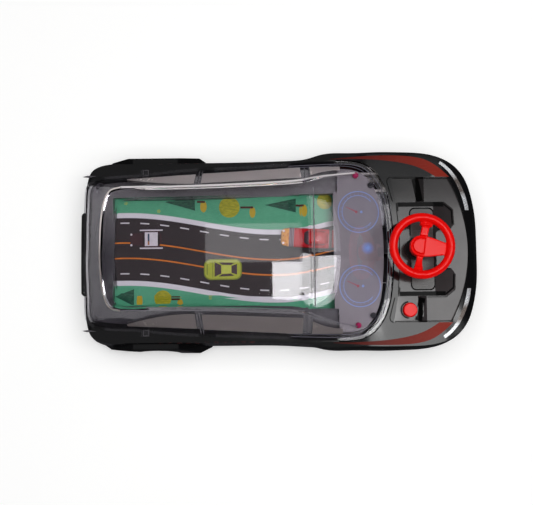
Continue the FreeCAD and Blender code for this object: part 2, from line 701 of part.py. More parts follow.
def console_skin(drop, thickness):
    top = [(x, z - drop) for x, z in CONSOLE_TOP]
    under = [(x, z - thickness) for x, z in reversed(top)]
    return side_prism(top + under, -60, 60)


def console_insert():
    skin = console_skin(0.0, 2.0).common(console_column(0.0, 30, 60))
    block = plan_prism(block_plan(0.0), 40, 60).common(side_prism(block_profile(0.0), -60, 60))
    block = block.common(console_column(0.0, 30, 60))
    hollow = plan_prism(block_plan(1.8), 40, 60).common(side_prism(block_profile(1.8), -60, 60))
    shell = skin.fuse(block).cut(hollow)
    under_block = plan_prism(block_plan(1.8), 38, 48).common(console_skin(0.0, 6.0))
    shell = shell.cut(under_block.common(box(80, 140, -60, 60, 38, 46.0)))
    shell = shell.cut(post(STEER_X, 0, 40, 60, 6.6))
    shell = shell.cut(post(BUTTON_X, BUTTON_Y, 40, 60, BUTTON_R + 0.4))
    groove = rounded_slab(97.4, 116.0, 30.9, 4.4, 50.9, 60).cut(rounded_slab(98.3, 115.1, 30.0, 3.6, 40, 60))
    shell = shell.cut(groove)
    shell = shell.cut(rounded_slab(98.3, 115.1, 30.0, 3.6, 51.0, 60))
    legs = [box(BUTTON_X + dx - 1.2, BUTTON_X + dx + 1.2, BUTTON_Y - 5, BUTTON_Y + 5, 36.6, 47.6)
            for dx in (-9.4, 9.4)]
    return shell.fuse([leg.common(console_column(0.0, 30, 49.2)) for leg in legs]).removeSplitter()


def rounded_slab(x0, x1, half, r, z0, z1):
    slab = box(x0, x1, -half, half, z0, z1)
    upright = [e for e in slab.Edges if abs(e.BoundBox.ZLength - (z1 - z0)) < 0.01]
    return slab.makeFillet(r, upright)


def console_pad():
    pad = rounded_slab(98.4, 115.0, 29.9, 3.5, 51.0, 51.9)
    return pad.cut(post(STEER_X, 0, 40, 60, 6.6))


def column_collar():
    """Bush that carries the steering shaft where it passes the console."""
    sleeve = tube(STEER_X, 0, 43.0, 51.9, 6.5, 4.0 + RUNNING)
    flange = tube(STEER_X, 0, 51.9, 53.4, 8.6, 4.0 + RUNNING)
    return fused([sleeve, flange])


def column_bracket():
    """Arch over the battery box with the lower bearing of the steering shaft."""
    top = box(92, 113, -30, 30, 33.0, 36.0)
    legs = [box(92, 113, s * 28.5 - 1.5, s * 28.5 + 1.5, FLOOR_TOP, 33.0) for s in (1, -1)]
    return fused([top] + legs).cut(post(STEER_X, 0, 30, 40, 2.0 + RUNNING))


def steering_shaft():
    pieces = [post(STEER_X, 0, 33.0, 37.0, 2.0), post(STEER_X, 0, 37.0, 69.0, 4.0)]
    return fused(pieces).cut(post(STEER_X, 0, 60.0, 70, 1.25))


def spoke(angle, hub_w, rim_w):
    """Flat spoke that climbs from the hub to the rim."""
    inner, outer = 4.5, RIM_OUTER_R - RIM_TUBE_R
    a = [V(inner, -hub_w / 2, 69.0), V(inner, hub_w / 2, 69.0), V(inner, hub_w / 2, 72.5),
         V(inner, -hub_w / 2, 72.5)]
    b = [V(outer, -rim_w / 2, 74.6), V(outer, rim_w / 2, 74.6), V(outer, rim_w / 2, 77.4),
         V(outer, -rim_w / 2, 77.4)]
    arm = Part.makeLoft([Part.makePolygon(a + [a[0]]), Part.makePolygon(b + [b[0]])], True, True)
    arm.rotate(V(0, 0, 0), V(0, 0, 1), angle)
    arm.translate(V(STEER_X, 0, 0))
    return arm


def steering_wheel():
    rim = Part.makeTorus(RIM_OUTER_R - RIM_TUBE_R, RIM_TUBE_R, V(STEER_X, 0, RIM_Z))
    hub = post(STEER_X, 0, 62.0, 73.0, 7.2)
    spokes = [spoke(90, 5.0, 7.6), spoke(-90, 5.0, 7.6), spoke(0, 12.0, 7.0)]
    wheel = fused([rim, hub] + spokes)
    wheel = wheel.cut([post(STEER_X, 0, 60.0, 69.0, 4.0), post(STEER_X, 0, 73.0, 80.0, 7.2)])
    wheel = wheel.cut(post(STEER_X, 0, 68.0, 71.0, 1.5)).cut(post(STEER_X, 0, 70.6, 80, 3.4))
    return turned(wheel, WHEEL_ANGLE)


def hub_cap():
    dome = Part.makeSphere(11.0, V(STEER_X, 0, 64.6)).common(box(90, 115, -20, 20, 73.0, 80))
    plug = tube(STEER_X, 0, 72.4, 73.0, 3.4, 2.4)
    return turned(dome.fuse(plug), WHEEL_ANGLE)


def car_arm():
    length = STEER_X - CAR_CENTRE[0]
    tip = STEER_X - length + 8.0
    hub = tube(STEER_X, 0, ARM_Z - 1.0, 42.6, 7.0, 4.0)
    outline = [(STEER_X - 5, -5.5), (STEER_X - 5, 5.5), (tip, 3.2), (tip, -3.2)]
    arm = plan_prism(outline, ARM_Z, ARM_Z + 2.0).cut(post(STEER_X, 0, 30, 50, 4.0))
    rib = box(60, STEER_X - 6, -0.8, 0.8, ARM_Z - 1.4, ARM_Z)
    return turned(fused([hub, arm, rib]), ARM_ANGLE)


def car_shape(points, half):
    """Side profile as a smooth line over a flat sill, extruded across the car."""
    cx, cy = CAR_CENTRE
    curve = Part.BSplineCurve()
    curve.interpolate([V(cx + x, cy - half, z) for x, z in points])
    a, b = points[0], points[-1]
    sill = Part.makePolygon([V(cx + b[0], cy - half, b[1]), V(cx + a[0], cy - half, a[1])])
    return Part.Face(Part.Wire([curve.toShape()] + sill.Edges)).extrude(V(0, 2 * half, 0))


def long_hull():
    """The toy car's body before its corners are cut; the cabin sits on its upper surface."""
    return car_shape([(-20.2, 37.4), (-19.6, 40.2), (-13.0, 41.6), (-2.0, 42.4), (12.0, 42.6),
                      (19.4, 42.0), (20.2, 37.4)], 7.5)


def player_car(arm):
    cx, cy = CAR_CENTRE
    hull = long_hull()
    plan = [(cx - 20.5, cy - 4.6), (cx - 17.0, cy - 7.0), (cx - 4.0, cy - 7.5), (cx + 14.0, cy - 7.5),
            (cx + 20.5, cy - 6.0), (cx + 20.5, cy + 6.0), (cx + 14.0, cy + 7.5), (cx - 4.0, cy + 7.5),
            (cx - 17.0, cy + 7.0), (cx - 20.5, cy + 4.6)]
    hull = hull.common(plan_prism(plan, 30, 50))
    return turned(hull, CAR_YAW, cx, cy).cut(arm)


def player_car_cabin():
    cx, cy = CAR_CENTRE
    cabin = car_shape([(-8.0, 42.0), (-1.5, 45.4), (5.0, 46.0), (9.5, 45.2), (14.5, 42.0)], 5.6)
    cabin = cabin.cut(long_hull())
    return turned(cabin, CAR_YAW, cx, cy)


def push_button():
    cap = post(BUTTON_X, BUTTON_Y, 45.0, BUTTON_TOP, BUTTON_R)
    rim = [e for e in cap.Edges if e.BoundBox.ZLength < 0.01 and e.BoundBox.ZMin > BUTTON_TOP - 0.1]
    cap = cap.makeFillet(0.9, rim)
    flange = post(BUTTON_X, BUTTON_Y, 45.0, 46.8, 6.9)
    stem = post(BUTTON_X, BUTTON_Y, 41.3, 45.0, 1.5)
    return fused([cap, flange, stem])


def button_spring():
    helix = Part.makeHelix(1.9, 7.6, 4.6)
    ring = Part.Wire([Part.makeCircle(0.3, V(4.6, 0, 0), V(0, 1, 0))])
    coil = Part.Wire(helix.Edges).makePipeShell([ring], True, True)
    coil.translate(V(BUTTON_X, BUTTON_Y, 37.0))
    return coil


def button_board():
    return box(BUTTON_X - 11, BUTTON_X + 11, BUTTON_Y - 7, BUTTON_Y + 7, 35.0, 36.6)


def tact_switch():
    can = box(BUTTON_X - 2.8, BUTTON_X + 2.8, BUTTON_Y - 2.8, BUTTON_Y + 2.8, 36.6, 38.4)
    return can.fuse(post(BUTTON_X, BUTTON_Y, 38.4, 39.0, 1.2))


# ---------------------------------------------------------------- clear canopy
def shrunk(stations, factor):
    """The outline drawn in towards its middle, less along X than across."""
    middle = (stations[0][0] + stations[-1][0]) / 2
    along = 1 - (1 - factor) * 0.6
    return [(middle + (x - middle) * along, h * factor) for x, h in stations]


def canopy_stack(inset, floor, top_drop):
    """Solid from the canopy's foot up to its gently crowned roof."""
    sections = [ring_wire(CANOPY_BASE, floor, inset),
                ring_wire(CANOPY_ROOF, ROOF_EDGE_Z - top_drop, inset),
                ring_wire(shrunk(CANOPY_ROOF, 0.94), ROOF_TOP_Z - 1.6 - top_drop, inset),
                ring_wire(shrunk(CANOPY_ROOF, 0.80), ROOF_TOP_Z - top_drop, inset)]
    return Part.makeLoft(sections, True, True)


def clear_canopy():
    foot = ring_solid(CANOPY_BASE, DECK_Z, DECK_Z + 1.8, -1.2)
    outer = canopy_stack(0.0, DECK_Z, 0.0).fuse(foot)
    inner = canopy_stack(1.8, DECK_Z - 0.01, 1.6)
    shell = outer.cut(inner)
    corners = ring_solid(CANOPY_BASE, DECK_Z, DECK_Z + 1.6, 0.5)
    tabs = [corners.common(box(-147, -131, y - 5.0, y + 5.0, 40, 60)) for x, y in CANOPY_SCREWS]
    bosses = [post(x, y, BEZEL_TOP, DECK_Z + 6.0, 3.4) for x, y in CANOPY_SCREWS]
    ears = both_sides(box(-103, -97, 56.5, 62.5, DECK_Z, DECK_Z + 1.6))
    shell = shell.fuse(tabs + bosses + ears)
    return shell.cut([post(x, y, 40, DECK_Z + 5.0, 1.2) for x, y in CANOPY_SCREWS])


def main():
    outside, body = car_body()
    for side, word in enumerate(("left", "right")):
        save(fender_trim(outside, side), "fender_trim_" + word)
        save(headlight_lens(outside, side), "headlight_lens_" + word)
    save(upper_shell(body), "upper_shell")
    save(lower_shell(body), "lower_shell")
    save(clear_canopy(), "clear_canopy")
    save(Part.makeCompound([screw(x, y, BEZEL_TOP - 3.8, 8.0, 2.6, 1.2, 1.8)
                            for x, y in CANOPY_SCREWS]), "canopy_screws")
    save(screen_bezel(), "screen_bezel")
    save(instrument_panel(), "instrument_panel")
    save(Part.makeCompound(panel_screws()), "panel_screws")
    save(Part.makeCompound(corner_leds()), "corner_leds")
    save(panel_led(), "panel_led")

    save(console_insert(), "console_insert")
    save(console_pad(), "console_pad")
    save(column_collar(), "column_collar")
    save(column_bracket(), "column_bracket")
    save(steering_wheel(), "steering_wheel")
    save(hub_cap(), "hub_cap")
    save(screw(STEER_X, 0, 72.2, 8.0, 2.9, 1.2, 1.5, up=False), "hub_screw")
    save(steering_shaft(), "steering_shaft")
    arm = car_arm()
    save(arm, "car_arm")
    save(player_car(arm), "player_car")
    save(player_car_cabin(), "player_car_cabin")
    save(push_button(), "push_button")
    save(button_spring(), "button_spring")
    save(button_board(), "button_board")
    save(tact_switch(), "tact_switch")

    save(road_film(), "road_film")
    save(film_support_plate(), "film_support_plate")
    save(side_plate(1), "left_side_plate")
    save(side_plate(-1), "right_side_plate")
    save(roller(FRONT_ROLLER_X), "drive_roller")
    save(roller_axle(FRONT_ROLLER_X, LAYER_Y[0] + GEAR_W), "drive_roller_axle")
    save(roller_gear(), "roller_gear")
    save(roller(REAR_ROLLER_X), "idler_roller")
    save(roller_axle(REAR_ROLLER_X, PLATE_Y + PLATE_T + 0.8), "idler_roller_axle")
    save(double_gear(1), "double_gear_a")
    save(double_gear(2), "double_gear_b")
    save(Part.makeCompound(gear_pins()), "gear_pins")
    save(gearbox_cover(), "gearbox_cover")
    save(Part.makeCompound(gearbox_screws()), "gearbox_screws")
    save(motor_can(), "motor_can")
    save(motor_shaft(), "motor_shaft")
    save(motor_pinion(), "motor_pinion")

    save(battery_door(), "battery_door")
    save(screw(DOOR_SCREW_X, 0, FLOOR_Z - 0.6, 7.0, 2.6, 1.2, 1.6), "battery_door_screw")
    save(Part.makeCompound(batteries()), "batteries")
    save(Part.makeCompound(battery_contacts()), "battery_contacts")
    save(main_pcb(), "main_pcb")
    save(Part.makeCompound(pcb_components()), "pcb_components")
    save(speaker(), "speaker")
    save(power_switch_body(), "power_switch_body")
    save(power_slider(), "power_slider")
    save(Part.makeCompound([screw(x, y, FLOOR_TOP - 0.6, 32.0, 2.9, 1.2, 1.8)
                            for x, y in case_screw_places()]), "case_screws")
    save(Part.makeCompound(rubber_feet()), "rubber_feet")
    save(Part.makeCompound(tyres()), "tyres")
    save(Part.makeCompound(hubcaps()), "hubcaps")


main()
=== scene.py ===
import math

import bmesh
import bpy
from mathutils import Matrix, Vector
from mathutils.bvhtree import BVHTree


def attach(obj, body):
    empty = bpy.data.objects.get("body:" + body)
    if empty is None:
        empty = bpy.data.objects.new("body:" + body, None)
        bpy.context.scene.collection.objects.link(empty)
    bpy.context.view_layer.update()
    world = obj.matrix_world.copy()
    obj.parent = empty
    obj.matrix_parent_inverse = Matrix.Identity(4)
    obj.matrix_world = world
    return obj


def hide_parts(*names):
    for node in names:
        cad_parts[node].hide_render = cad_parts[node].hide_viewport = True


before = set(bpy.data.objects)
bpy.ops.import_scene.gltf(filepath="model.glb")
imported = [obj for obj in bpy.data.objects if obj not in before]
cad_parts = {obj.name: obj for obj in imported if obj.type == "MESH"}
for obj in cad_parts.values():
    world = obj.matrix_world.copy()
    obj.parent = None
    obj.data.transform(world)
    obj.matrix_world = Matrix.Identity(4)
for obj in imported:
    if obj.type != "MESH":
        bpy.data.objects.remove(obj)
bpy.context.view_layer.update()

MM = 0.001

# Driving sizes, shared with the frame
ROLLER_Z = 27.1
FILM_R = 9.05
FILM_HALF = 43.9
FRONT_ROLLER_X = 34.0
REAR_ROLLER_X = -115.0
STEER_X = 102.5
RIM_Z = 76.0
RIM_R = 20.7
RIM_TUBE_R = 3.15
WHEEL_ANGLE = -8.5
GAUGES = [(60.0, 28.7), (60.2, -26.9)]
LED_SPOT = (66.5, 1.5)
CAR_CENTRE = (22.4, 10.2)
CAR_YAW = -3.5
CANOPY_SCREWS = [(-132.3, 48.7), (-135.1, -47.4)]
PANEL_REAR = (44.0, 49.4)
PANEL_FRONT = (80.5, 44.6)
PANEL_CODE = "7d797b"
ROOF_EDGE = [
    (-127.7, 0.0), (-127.0, 18.0), (-124.8, 33.0), (-120.5, 41.5), (-113.0, 44.0), (-95.0, 44.0),
    (-66.0, 44.2), (-30.0, 45.2), (3.0, 46.6), (17.0, 47.8),
]
CANOPY_FOOT = [
    (9.0, 64.8), (47.0, 66.0), (61.0, 64.5), (69.0, 60.0),
    (75.5, 52.0), (80.0, 41.5), (82.6, 27.0), (83.7, 14.0), (84.1, 0.0),
]


# ------- shader helpers
def tone(code):
    """Linear colour of a six-digit sRGB code."""
    parts = [int(code[i:i + 2], 16) / 255 for i in (0, 2, 4)]
    linear = [p / 12.92 if p <= 0.04045 else ((p + 0.055) / 1.055) ** 2.4 for p in parts]
    return tuple(linear) + (1.0,)


def shade(colour, factor):
    """The colour made darker or lighter."""
    return tuple(min(1.0, c * factor) for c in colour[:3]) + (1.0,)


class Shader:
    """A material's node tree, with short calls for the nodes used here."""

    def __init__(self, name):
        self.material = bpy.data.materials.new(name)
        self.material.use_nodes = True
        self.tree = self.material.node_tree
        self.surface = self.tree.nodes["Principled BSDF"]
        self.place = self.node("ShaderNodeTexCoord").outputs["Object"]

    def node(self, kind, **settings):
        made = self.tree.nodes.new(kind)
        for key, value in settings.items():
            setattr(made, key, value)
        return made

    def put(self, source, socket):
        """Feeds a socket from a node's output or a plain value."""
        if isinstance(source, bpy.types.NodeSocket):
            self.tree.links.new(source, socket)
        else:
            socket.default_value = source

    def set(self, **values):
        """Sets the surface's sockets; an underscore stands for a space."""
        for key, value in values.items():
            self.put(value, self.surface.inputs[key.replace("_", " ")])

    def maths(self, operation, a, b=0.0, c=0.0):
        made = self.node("ShaderNodeMath", operation=operation)
        for socket, value in zip(made.inputs, (a, b, c)):
            self.put(value, socket)
        return made.outputs[0]

    def span(self, value, low, high, out_low, out_high):
        """Value mapped from one range to another and held there."""
        made = self.node("ShaderNodeMapRange")
        for socket, v in zip(made.inputs, (value, low, high, out_low, out_high)):
            self.put(v, socket)
        return made.outputs[0]

    def stretched(self, scale, turn=(0.0, 0.0, 0.0)):
        made = self.node("ShaderNodeMapping")
        self.put(self.place, made.inputs["Vector"])
        made.inputs["Scale"].default_value = scale
        made.inputs["Rotation"].default_value = turn
        return made.outputs[0]

    def noise(self, size_mm, detail=3.0, place=None):
        """Noise with features of about that size."""
        made = self.node("ShaderNodeTexNoise")
        self.put(place or self.place, made.inputs["Vector"])
        made.inputs["Scale"].default_value = 1.0 / (size_mm * MM)
        made.inputs["Detail"].default_value = detail
        return made.outputs["Fac"]

    def mix(self, factor, a, b):
        made = self.node("ShaderNodeMix", data_type="RGBA")
        self.put(factor, made.inputs[0])
        self.put(a, made.inputs[6])
        self.put(b, made.inputs[7])
        return made.outputs[2]

    def bump(self, height, strength, distance_mm=0.1):
        made = self.node("ShaderNodeBump")
        made.inputs["Strength"].default_value = strength
        made.inputs["Distance"].default_value = distance_mm * MM
        self.put(height, made.inputs["Height"])
        self.put(made.outputs["Normal"], self.surface.inputs["Normal"])

    def axes(self):
        """X, Y and Z in mm."""
        made = self.node("ShaderNodeSeparateXYZ")
        self.put(self.place, made.inputs[0])
        return [self.maths("MULTIPLY", made.outputs[i], 1000.0) for i in range(3)]

    def below(self, value, limit, soft=0.06):
        """1 where the value is under the limit, with a narrow soft edge."""
        return self.span(value, limit - soft, limit + soft, 1.0, 0.0)

    def inside(self, value, middle, half, soft=0.06):
        return self.below(self.maths("ABSOLUTE", self.maths("SUBTRACT", value, middle)), half, soft)

    def both(self, a, b):
        return self.maths("MULTIPLY", a, b)

    def blend_with(self, other, factor):
        """Mixes the surface with another shader on its way out."""
        mixed = self.node("ShaderNodeMixShader")
        for source, socket in zip((factor, self.surface.outputs[0], other.outputs[0]), mixed.inputs):
            self.put(source, socket)
        self.put(mixed.outputs[0], self.tree.nodes["Material Output"].inputs[0])


def worn(s, colour, roughness, drift=0.12, drift_mm=14.0, grain_mm=0.35, grain=0.08, scratch=0.06):
    """Moulded surface: slow colour drift, fine grain and faint scratches in the gloss."""
    slow = s.noise(drift_mm)
    fine = s.noise(grain_mm, 2.0)
    hair = s.noise(1.0, 2.0, s.stretched((0.06, 1.4, 1.0), (0.0, 0.0, 0.5)))
    marks = s.span(hair, 0.62, 0.72, 0.0, scratch)
    colour_drift = s.mix(slow, shade(colour, 1 - drift), shade(colour, 1 + drift))
    speck = s.span(fine, 0.3, 0.7, -0.02, 0.02)
    base = s.maths("ADD", s.span(slow, 0.3, 0.7, roughness * 0.85, roughness * 1.2), speck)
    s.set(Base_Color=colour_drift, Roughness=s.maths("ADD", base, marks))
    s.bump(s.maths("ADD", fine, s.maths("MULTIPLY", marks, -2.0)), grain, 0.05)
    return s


def plastic(name, code, roughness, **finish):
    return worn(Shader(name), tone(code), roughness, **finish)


# ------- materials
def black_gloss():
    """Glossy black of the case."""
    s = plastic("black_gloss", "0b0b0c", 0.10, drift=0.2, grain=0.02, scratch=0.05)
    s.set(Coat_Weight=0.3, Coat_Roughness=0.05)
    return s.material


def dark_panel():
    return plastic("dark_panel", "39393c", 0.32, grain=0.15).material


def panel_grey():
    """Satin grey of the instrument panel."""
    return plastic("panel_grey", PANEL_CODE, 0.36, grain=0.1).material


def bezel_grey():
    """Satin grey of the frame round the road band, with painted light: lighter along its left side."""
    s = plastic("bezel_grey", "424144", 0.30, grain=0.12, scratch=0.04)
    x, y, z = s.axes()
    # Painted light: the grey lightens from the middle towards the left side (+y).
    s.set(Base_Color=s.mix(s.span(y, 0.0, 42.0, 0.0, 1.0), tone("3a393c"), tone("6c6b6b")))
    return s.material


def console_grey():
    """Glossy charcoal bonnet, with painted light: a little lighter towards the nose and the right-hand side.
    """
    s = plastic("console_grey", "2c2b2c", 0.12, drift=0.15, grain=0.02, scratch=0.05)
    x, y, z = s.axes()
    # Painted light: this grey lightens towards the nose and the right-hand side.
    along = s.maths("ADD", x, s.maths("MULTIPLY", y, -0.45))
    grey = s.mix(s.span(along, 65.0, 150.0, 0.0, 1.0), tone("191818"), tone("413c3d"))
    s.set(Base_Color=s.mix(s.span(s.noise(14.0), 0.3, 0.7, 0.0, 0.25), grey, tone("151414")))
    s.set(Coat_Weight=0.3, Coat_Roughness=0.05)
    return s.material


def shadow_black():
    """Black of grooves and steep faces that catch no light."""
    s = plastic("shadow_black", "070707", 0.3, drift=0.3, grain=0.02)
    s.set(Specular_IOR_Level=0.12)
    return s.material


def pad_grey():
    return plastic("pad_grey", "4b4a49", 0.25, grain=0.05).material


def red_plastic():
    s = plastic("red_plastic", "f20a08", 0.2, drift=0.05, grain=0.03, scratch=0.03)
    s.set(Subsurface_Weight=0.08, Subsurface_Scale=0.002, Specular_IOR_Level=0.3)
    return s.material


def trim_red():
    """Red of the bonnet's side trims, darker towards their rear ends."""
    s = plastic("trim_red", "7a1a0d", 0.26, drift=0.15, grain=0.03)
    x, y, z = s.axes()
    front = s.span(x, 50.0, 118.0, 0.0, 1.0)
    s.set(Base_Color=s.mix(front, tone("480f08"), tone("842213")), Specular_IOR_Level=0.14)
    return s.material


def clear_plastic():
    """Clear moulding; lamps reach what is behind it."""
    s = Shader("clear_plastic")
    slow = s.noise(30.0)
    s.set(Base_Color=tone("f3f0f6"), Transmission_Weight=1.0, IOR=1.12)
    s.set(Coat_Weight=s.span(slow, 0.2, 0.8, 0.9, 1.0), Coat_Roughness=0.02)
    s.set(Roughness=s.span(s.noise(2.0), 0.35, 0.75, 0.004, 0.012))
    through = s.node("ShaderNodeBsdfTransparent")
    through.inputs["Color"].default_value = tone("f4f2f6")
    s.blend_with(through, s.node("ShaderNodeLightPath").outputs["Is Shadow Ray"])
    return s.material


def silver_clear():
    """Silvered lamp strip with a painted highlight: bright at both ends and dim in its middle."""
    s = Shader("silver_clear")
    x, y, z = s.axes()
    wide = s.maths("ABSOLUTE", y)
    # Painted highlight: the ends are painted bright and the middle dim, with cloudy edges.
    middle = s.inside(wide, 48.0, 6.5, 2.5)
    cloud = s.span(s.noise(3.0), 0.3, 0.7, -0.12, 0.12)
    dim = s.maths("ADD", middle, cloud)
    s.set(Base_Color=s.mix(dim, tone("e9ebee"), tone("6e6560")))
    s.set(Metallic=0.55, Roughness=s.span(s.noise(0.8), 0.3, 0.7, 0.2, 0.32))
    s.bump(s.noise(0.8), 0.1, 0.08)
    return s.material


def lit(name, code, strength):
    """Tinted lamp body that glows a little."""
    s = plastic(name, code, 0.15, grain=0.02)
    s.set(Emission_Color=tone(code), Emission_Strength=strength)
    return s.material


def black_matte():
    return plastic("black_matte", "161517", 0.5, grain=0.2).material


def white_plastic():
    return plastic("white_plastic", "cfccc4", 0.42, grain=0.1, drift=0.06).material


def roller_grey():
    return plastic("roller_grey", "6d6c6a", 0.5, grain=0.2).material


def metal(name, code, roughness):
    """Drawn metal with streaks along it."""
    s = Shader(name)
    streak = s.noise(0.8, 3.0, s.stretched((0.05, 1.0, 1.0)))
    s.set(Base_Color=s.mix(streak, shade(tone(code), 0.75), shade(tone(code), 1.1)))
    s.set(Metallic=1.0, Roughness=s.span(streak, 0.3, 0.7, roughness * 0.7, roughness * 1.4))
    s.bump(streak, 0.08, 0.05)
    return s.material


def pcb_green():
    """Board with darker tracks under the lacquer."""
    s = Shader("pcb_green")
    made = s.node("ShaderNodeTexBrick")
    s.put(s.place, made.inputs["Vector"])
    made.inputs["Scale"].default_value = 320.0
    track = s.span(made.outputs["Fac"], 0.2, 0.8, 0.0, 1.0)
    s.set(Base_Color=s.mix(track, tone("1d5a35"), tone("12401f")))
    s.set(Roughness=s.span(s.noise(2.0), 0.3, 0.7, 0.2, 0.35))
    s.bump(track, 0.2, 0.05)
    return s.material


def cell_wrap():
    """Plain battery wrap: dark body with a brass end."""
    s = Shader("cell_wrap")
    x, y, z = s.axes()
    end = s.below(x, 103.0, 0.3)
    s.set(Base_Color=s.mix(end, tone("23262b"), tone("b98d4c")))
    s.set(Metallic=0.35, Roughness=s.span(s.noise(3.0), 0.3, 0.7, 0.25, 0.4))
    s.bump(s.noise(0.6), 0.05)
    return s.material


def rubber():
    return plastic("rubber", "1d1c1b", 0.75, grain=0.35, grain_mm=0.5).material


def tyre_black():
    return plastic("tyre_black", "171618", 0.6, grain=0.3).material


def road_print():
    """Printed road: grass, white kerb lines, asphalt, two orange lines and dashed lanes."""
    s = Shader("road_print")
    x, y, z = s.axes()
    rear = s.maths("MINIMUM", x, 0.0)
    front = s.maths("MAXIMUM", x, 0.0)
    turn = s.maths("ADD", s.maths("MULTIPLY", s.maths("ADD", rear, 116.0), math.pi / 115.6),
                   s.maths("MULTIPLY", front, math.pi / 86.8))
    centre = s.maths("ADD", s.maths("MULTIPLY", s.maths("COSINE", turn), 7.05), -3.35)
    off = s.maths("SUBTRACT", y, centre)
    across = s.maths("ABSOLUTE", off)
    blade = s.noise(1.2, 4.0, s.stretched((0.4, 1.6, 1.0)))
    grass = s.mix(s.noise(22.0), tone("449c73"), tone("66b58c"))
    grass = s.mix(s.span(blade, 0.35, 0.7, 0.0, 0.3), grass, tone("2f7f57"))
    tarmac = s.mix(s.noise(5.0, 3.0), tone("2a2324"), tone("302829"))
    colour = s.mix(s.below(across, 26.0), grass, tarmac)
    colour = s.mix(s.inside(across, 25.8, 1.9, 0.2), colour, tone("dadadb"))
    repeat = s.maths("FRACT", s.maths("DIVIDE", s.maths("ADD", x, 119.9), 15.1))
    dash = s.below(repeat, 0.45, 0.01)
    lanes = s.maths("ADD", s.inside(off, 20.0, 0.48), s.inside(off, -18.6, 0.48))
    colour = s.mix(s.both(dash, lanes), colour, tone("d2d0d0"))
    lines = s.maths("ADD", s.inside(off, 4.8, 0.55), s.inside(off, -6.9, 0.55))
    colour = s.mix(lines, colour, tone("cf7420"))
    s.set(Base_Color=colour, Roughness=s.span(s.noise(1.5), 0.3, 0.7, 0.40, 0.5), Specular_IOR_Level=0.15)
    s.bump(s.noise(1.2), 0.02, 0.03)
    return s.material


def ink(name, code, roughness=0.35, drift=0.15):
    """Printed colour on the road band."""
    s = plastic(name, code, roughness, drift=drift, drift_mm=3.0, grain=0.02)
    s.set(Specular_IOR_Level=0.15)
    return s.material


def tree_ink(name, light, dark):
    """Foliage printed in streaks of two greens."""
    s = Shader(name)
    leaf = s.noise(1.6, 5.0, s.stretched((0.5, 1.5, 1.0)))
    s.set(Base_Color=s.mix(s.span(leaf, 0.35, 0.65, 0.0, 1.0), tone(dark), tone(light)))
    s.set(Roughness=s.span(leaf, 0.3, 0.7, 0.4, 0.5), Specular_IOR_Level=0.15)
    s.bump(leaf, 0.03, 0.03)
    return s.material


def car_paint():
    """Red of the small car with a darker drift."""
    s = plastic("car_red", "b3161c", 0.2, drift=0.15, drift_mm=5.0, grain=0.03)
    s.set(Coat_Weight=0.5, Coat_Roughness=0.08)
    return s.material


def floor_white():
    """Pale floor, clear when it is looked at from below."""
    s = plastic("floor_white", "f4f4f3", 0.6, drift=0.01, drift_mm=120.0, grain=0.02, scratch=0.0)
    s.set(Emission_Color=tone("ffffff"), Emission_Strength=0.30)
    underneath = s.node("ShaderNodeNewGeometry").outputs["Backfacing"]
    s.blend_with(s.node("ShaderNodeBsdfTransparent"), underneath)
    return s.material


SLOT_MATERIALS = {
    "black_gloss": black_gloss(),
    "dark_panel": dark_panel(),
    "bezel_grey": bezel_grey(),
    "red_plastic": red_plastic(),
    "trim_red": trim_red(),
    "clear_plastic": clear_plastic(),
    "silver_clear": silver_clear(),
    "led_red": lit("led_red", "9a2450", 0.25),
    "led_blue": lit("led_blue", "5a7fb8", 0.35),
    "film_print": road_print(),
    "black_matte": black_matte(),
    "car_red": car_paint(),
    "car_dark": plastic("car_dark", "241a1e", 0.18, grain=0.03).material,
    "white_plastic": white_plastic(),
    "roller_grey": roller_grey(),
    "steel": metal("steel", "b9bbbd", 0.3),
    "screw_black": metal("screw_black", "3a3a3c", 0.35),
    "pcb_green": pcb_green(),
    "component_black": plastic("component_black", "1d1d1f", 0.4, grain=0.15).material,
    "cell_wrap": cell_wrap(),
    "rubber": rubber(),
    "tyre_black": tyre_black(),
    "hub_silver": metal("hub_silver", "a9abae", 0.28),
}
NODE_MATERIALS = {
    "console_insert": console_grey(),
    "console_pad": pad_grey(),
    "instrument_panel": panel_grey(),
}


def dress_frame():
    """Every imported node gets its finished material."""
    for name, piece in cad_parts.items():
        for place in piece.material_slots:
            wanted = place.material.name.split(".")[0]
            place.material = NODE_MATERIALS.get(name) or SLOT_MATERIALS[wanted]


# ------- mesh helpers
def piece_from(name, verts_mm, faces, material, body, slot=None, smooth=False):
    """A mesh object from points in mm, riding on a body."""
    mesh = bpy.data.meshes.new(name)
    mesh.from_pydata([tuple(c * MM for c in v) for v in verts_mm], [], faces)
    mesh.validate()
    mesh.materials.append(material)
    fixed = bmesh.new()
    fixed.from_mesh(mesh)
    bmesh.ops.recalc_face_normals(fixed, faces=fixed.faces)
    fixed.to_mesh(mesh)
    fixed.free()
    for polygon in mesh.polygons:
        polygon.use_smooth = smooth
    made = bpy.data.objects.new(name, mesh)
    bpy.context.scene.collection.objects.link(made)
    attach(made, body)
    return made


def slabs(outlines, height, thickness):
    """Closed thin plates over several outlines; height(x, y) is their underside."""
    verts, faces = [], []
    for outline in outlines:
        n, start = len(outline), len(verts)
        verts += [(x, y, height(x, y)) for x, y in outline]
        verts += [(x, y, height(x, y) + thickness) for x, y in outline]
        faces.append([start + i for i in reversed(range(n))])
        faces.append([start + n + i for i in range(n)])
        for i in range(n):
            j = (i + 1) % n
            faces.append([start + i, start + j, start + n + j, start + n + i])
    return verts, faces


def around(x, y, r, degrees):
    """Point on a circle about (x, y)."""
    a = math.radians(degrees)
    return (x + r * math.cos(a), y + r * math.sin(a))


def disc(x, y, rx, ry=None, count=28):
    ry = ry or rx
    steps = [2 * math.pi * i / count for i in range(count)]
    return [(x + rx * math.cos(a), y + ry * math.sin(a)) for a in steps]


def mirrored(points, side):
    """Plan points, or their mirror image where side is -1."""
    return [(x, y * side) for x, y in points]


def block(x0, x1, y0, y1):
    return [(x0, y0), (x1, y0), (x1, y1), (x0, y1)]


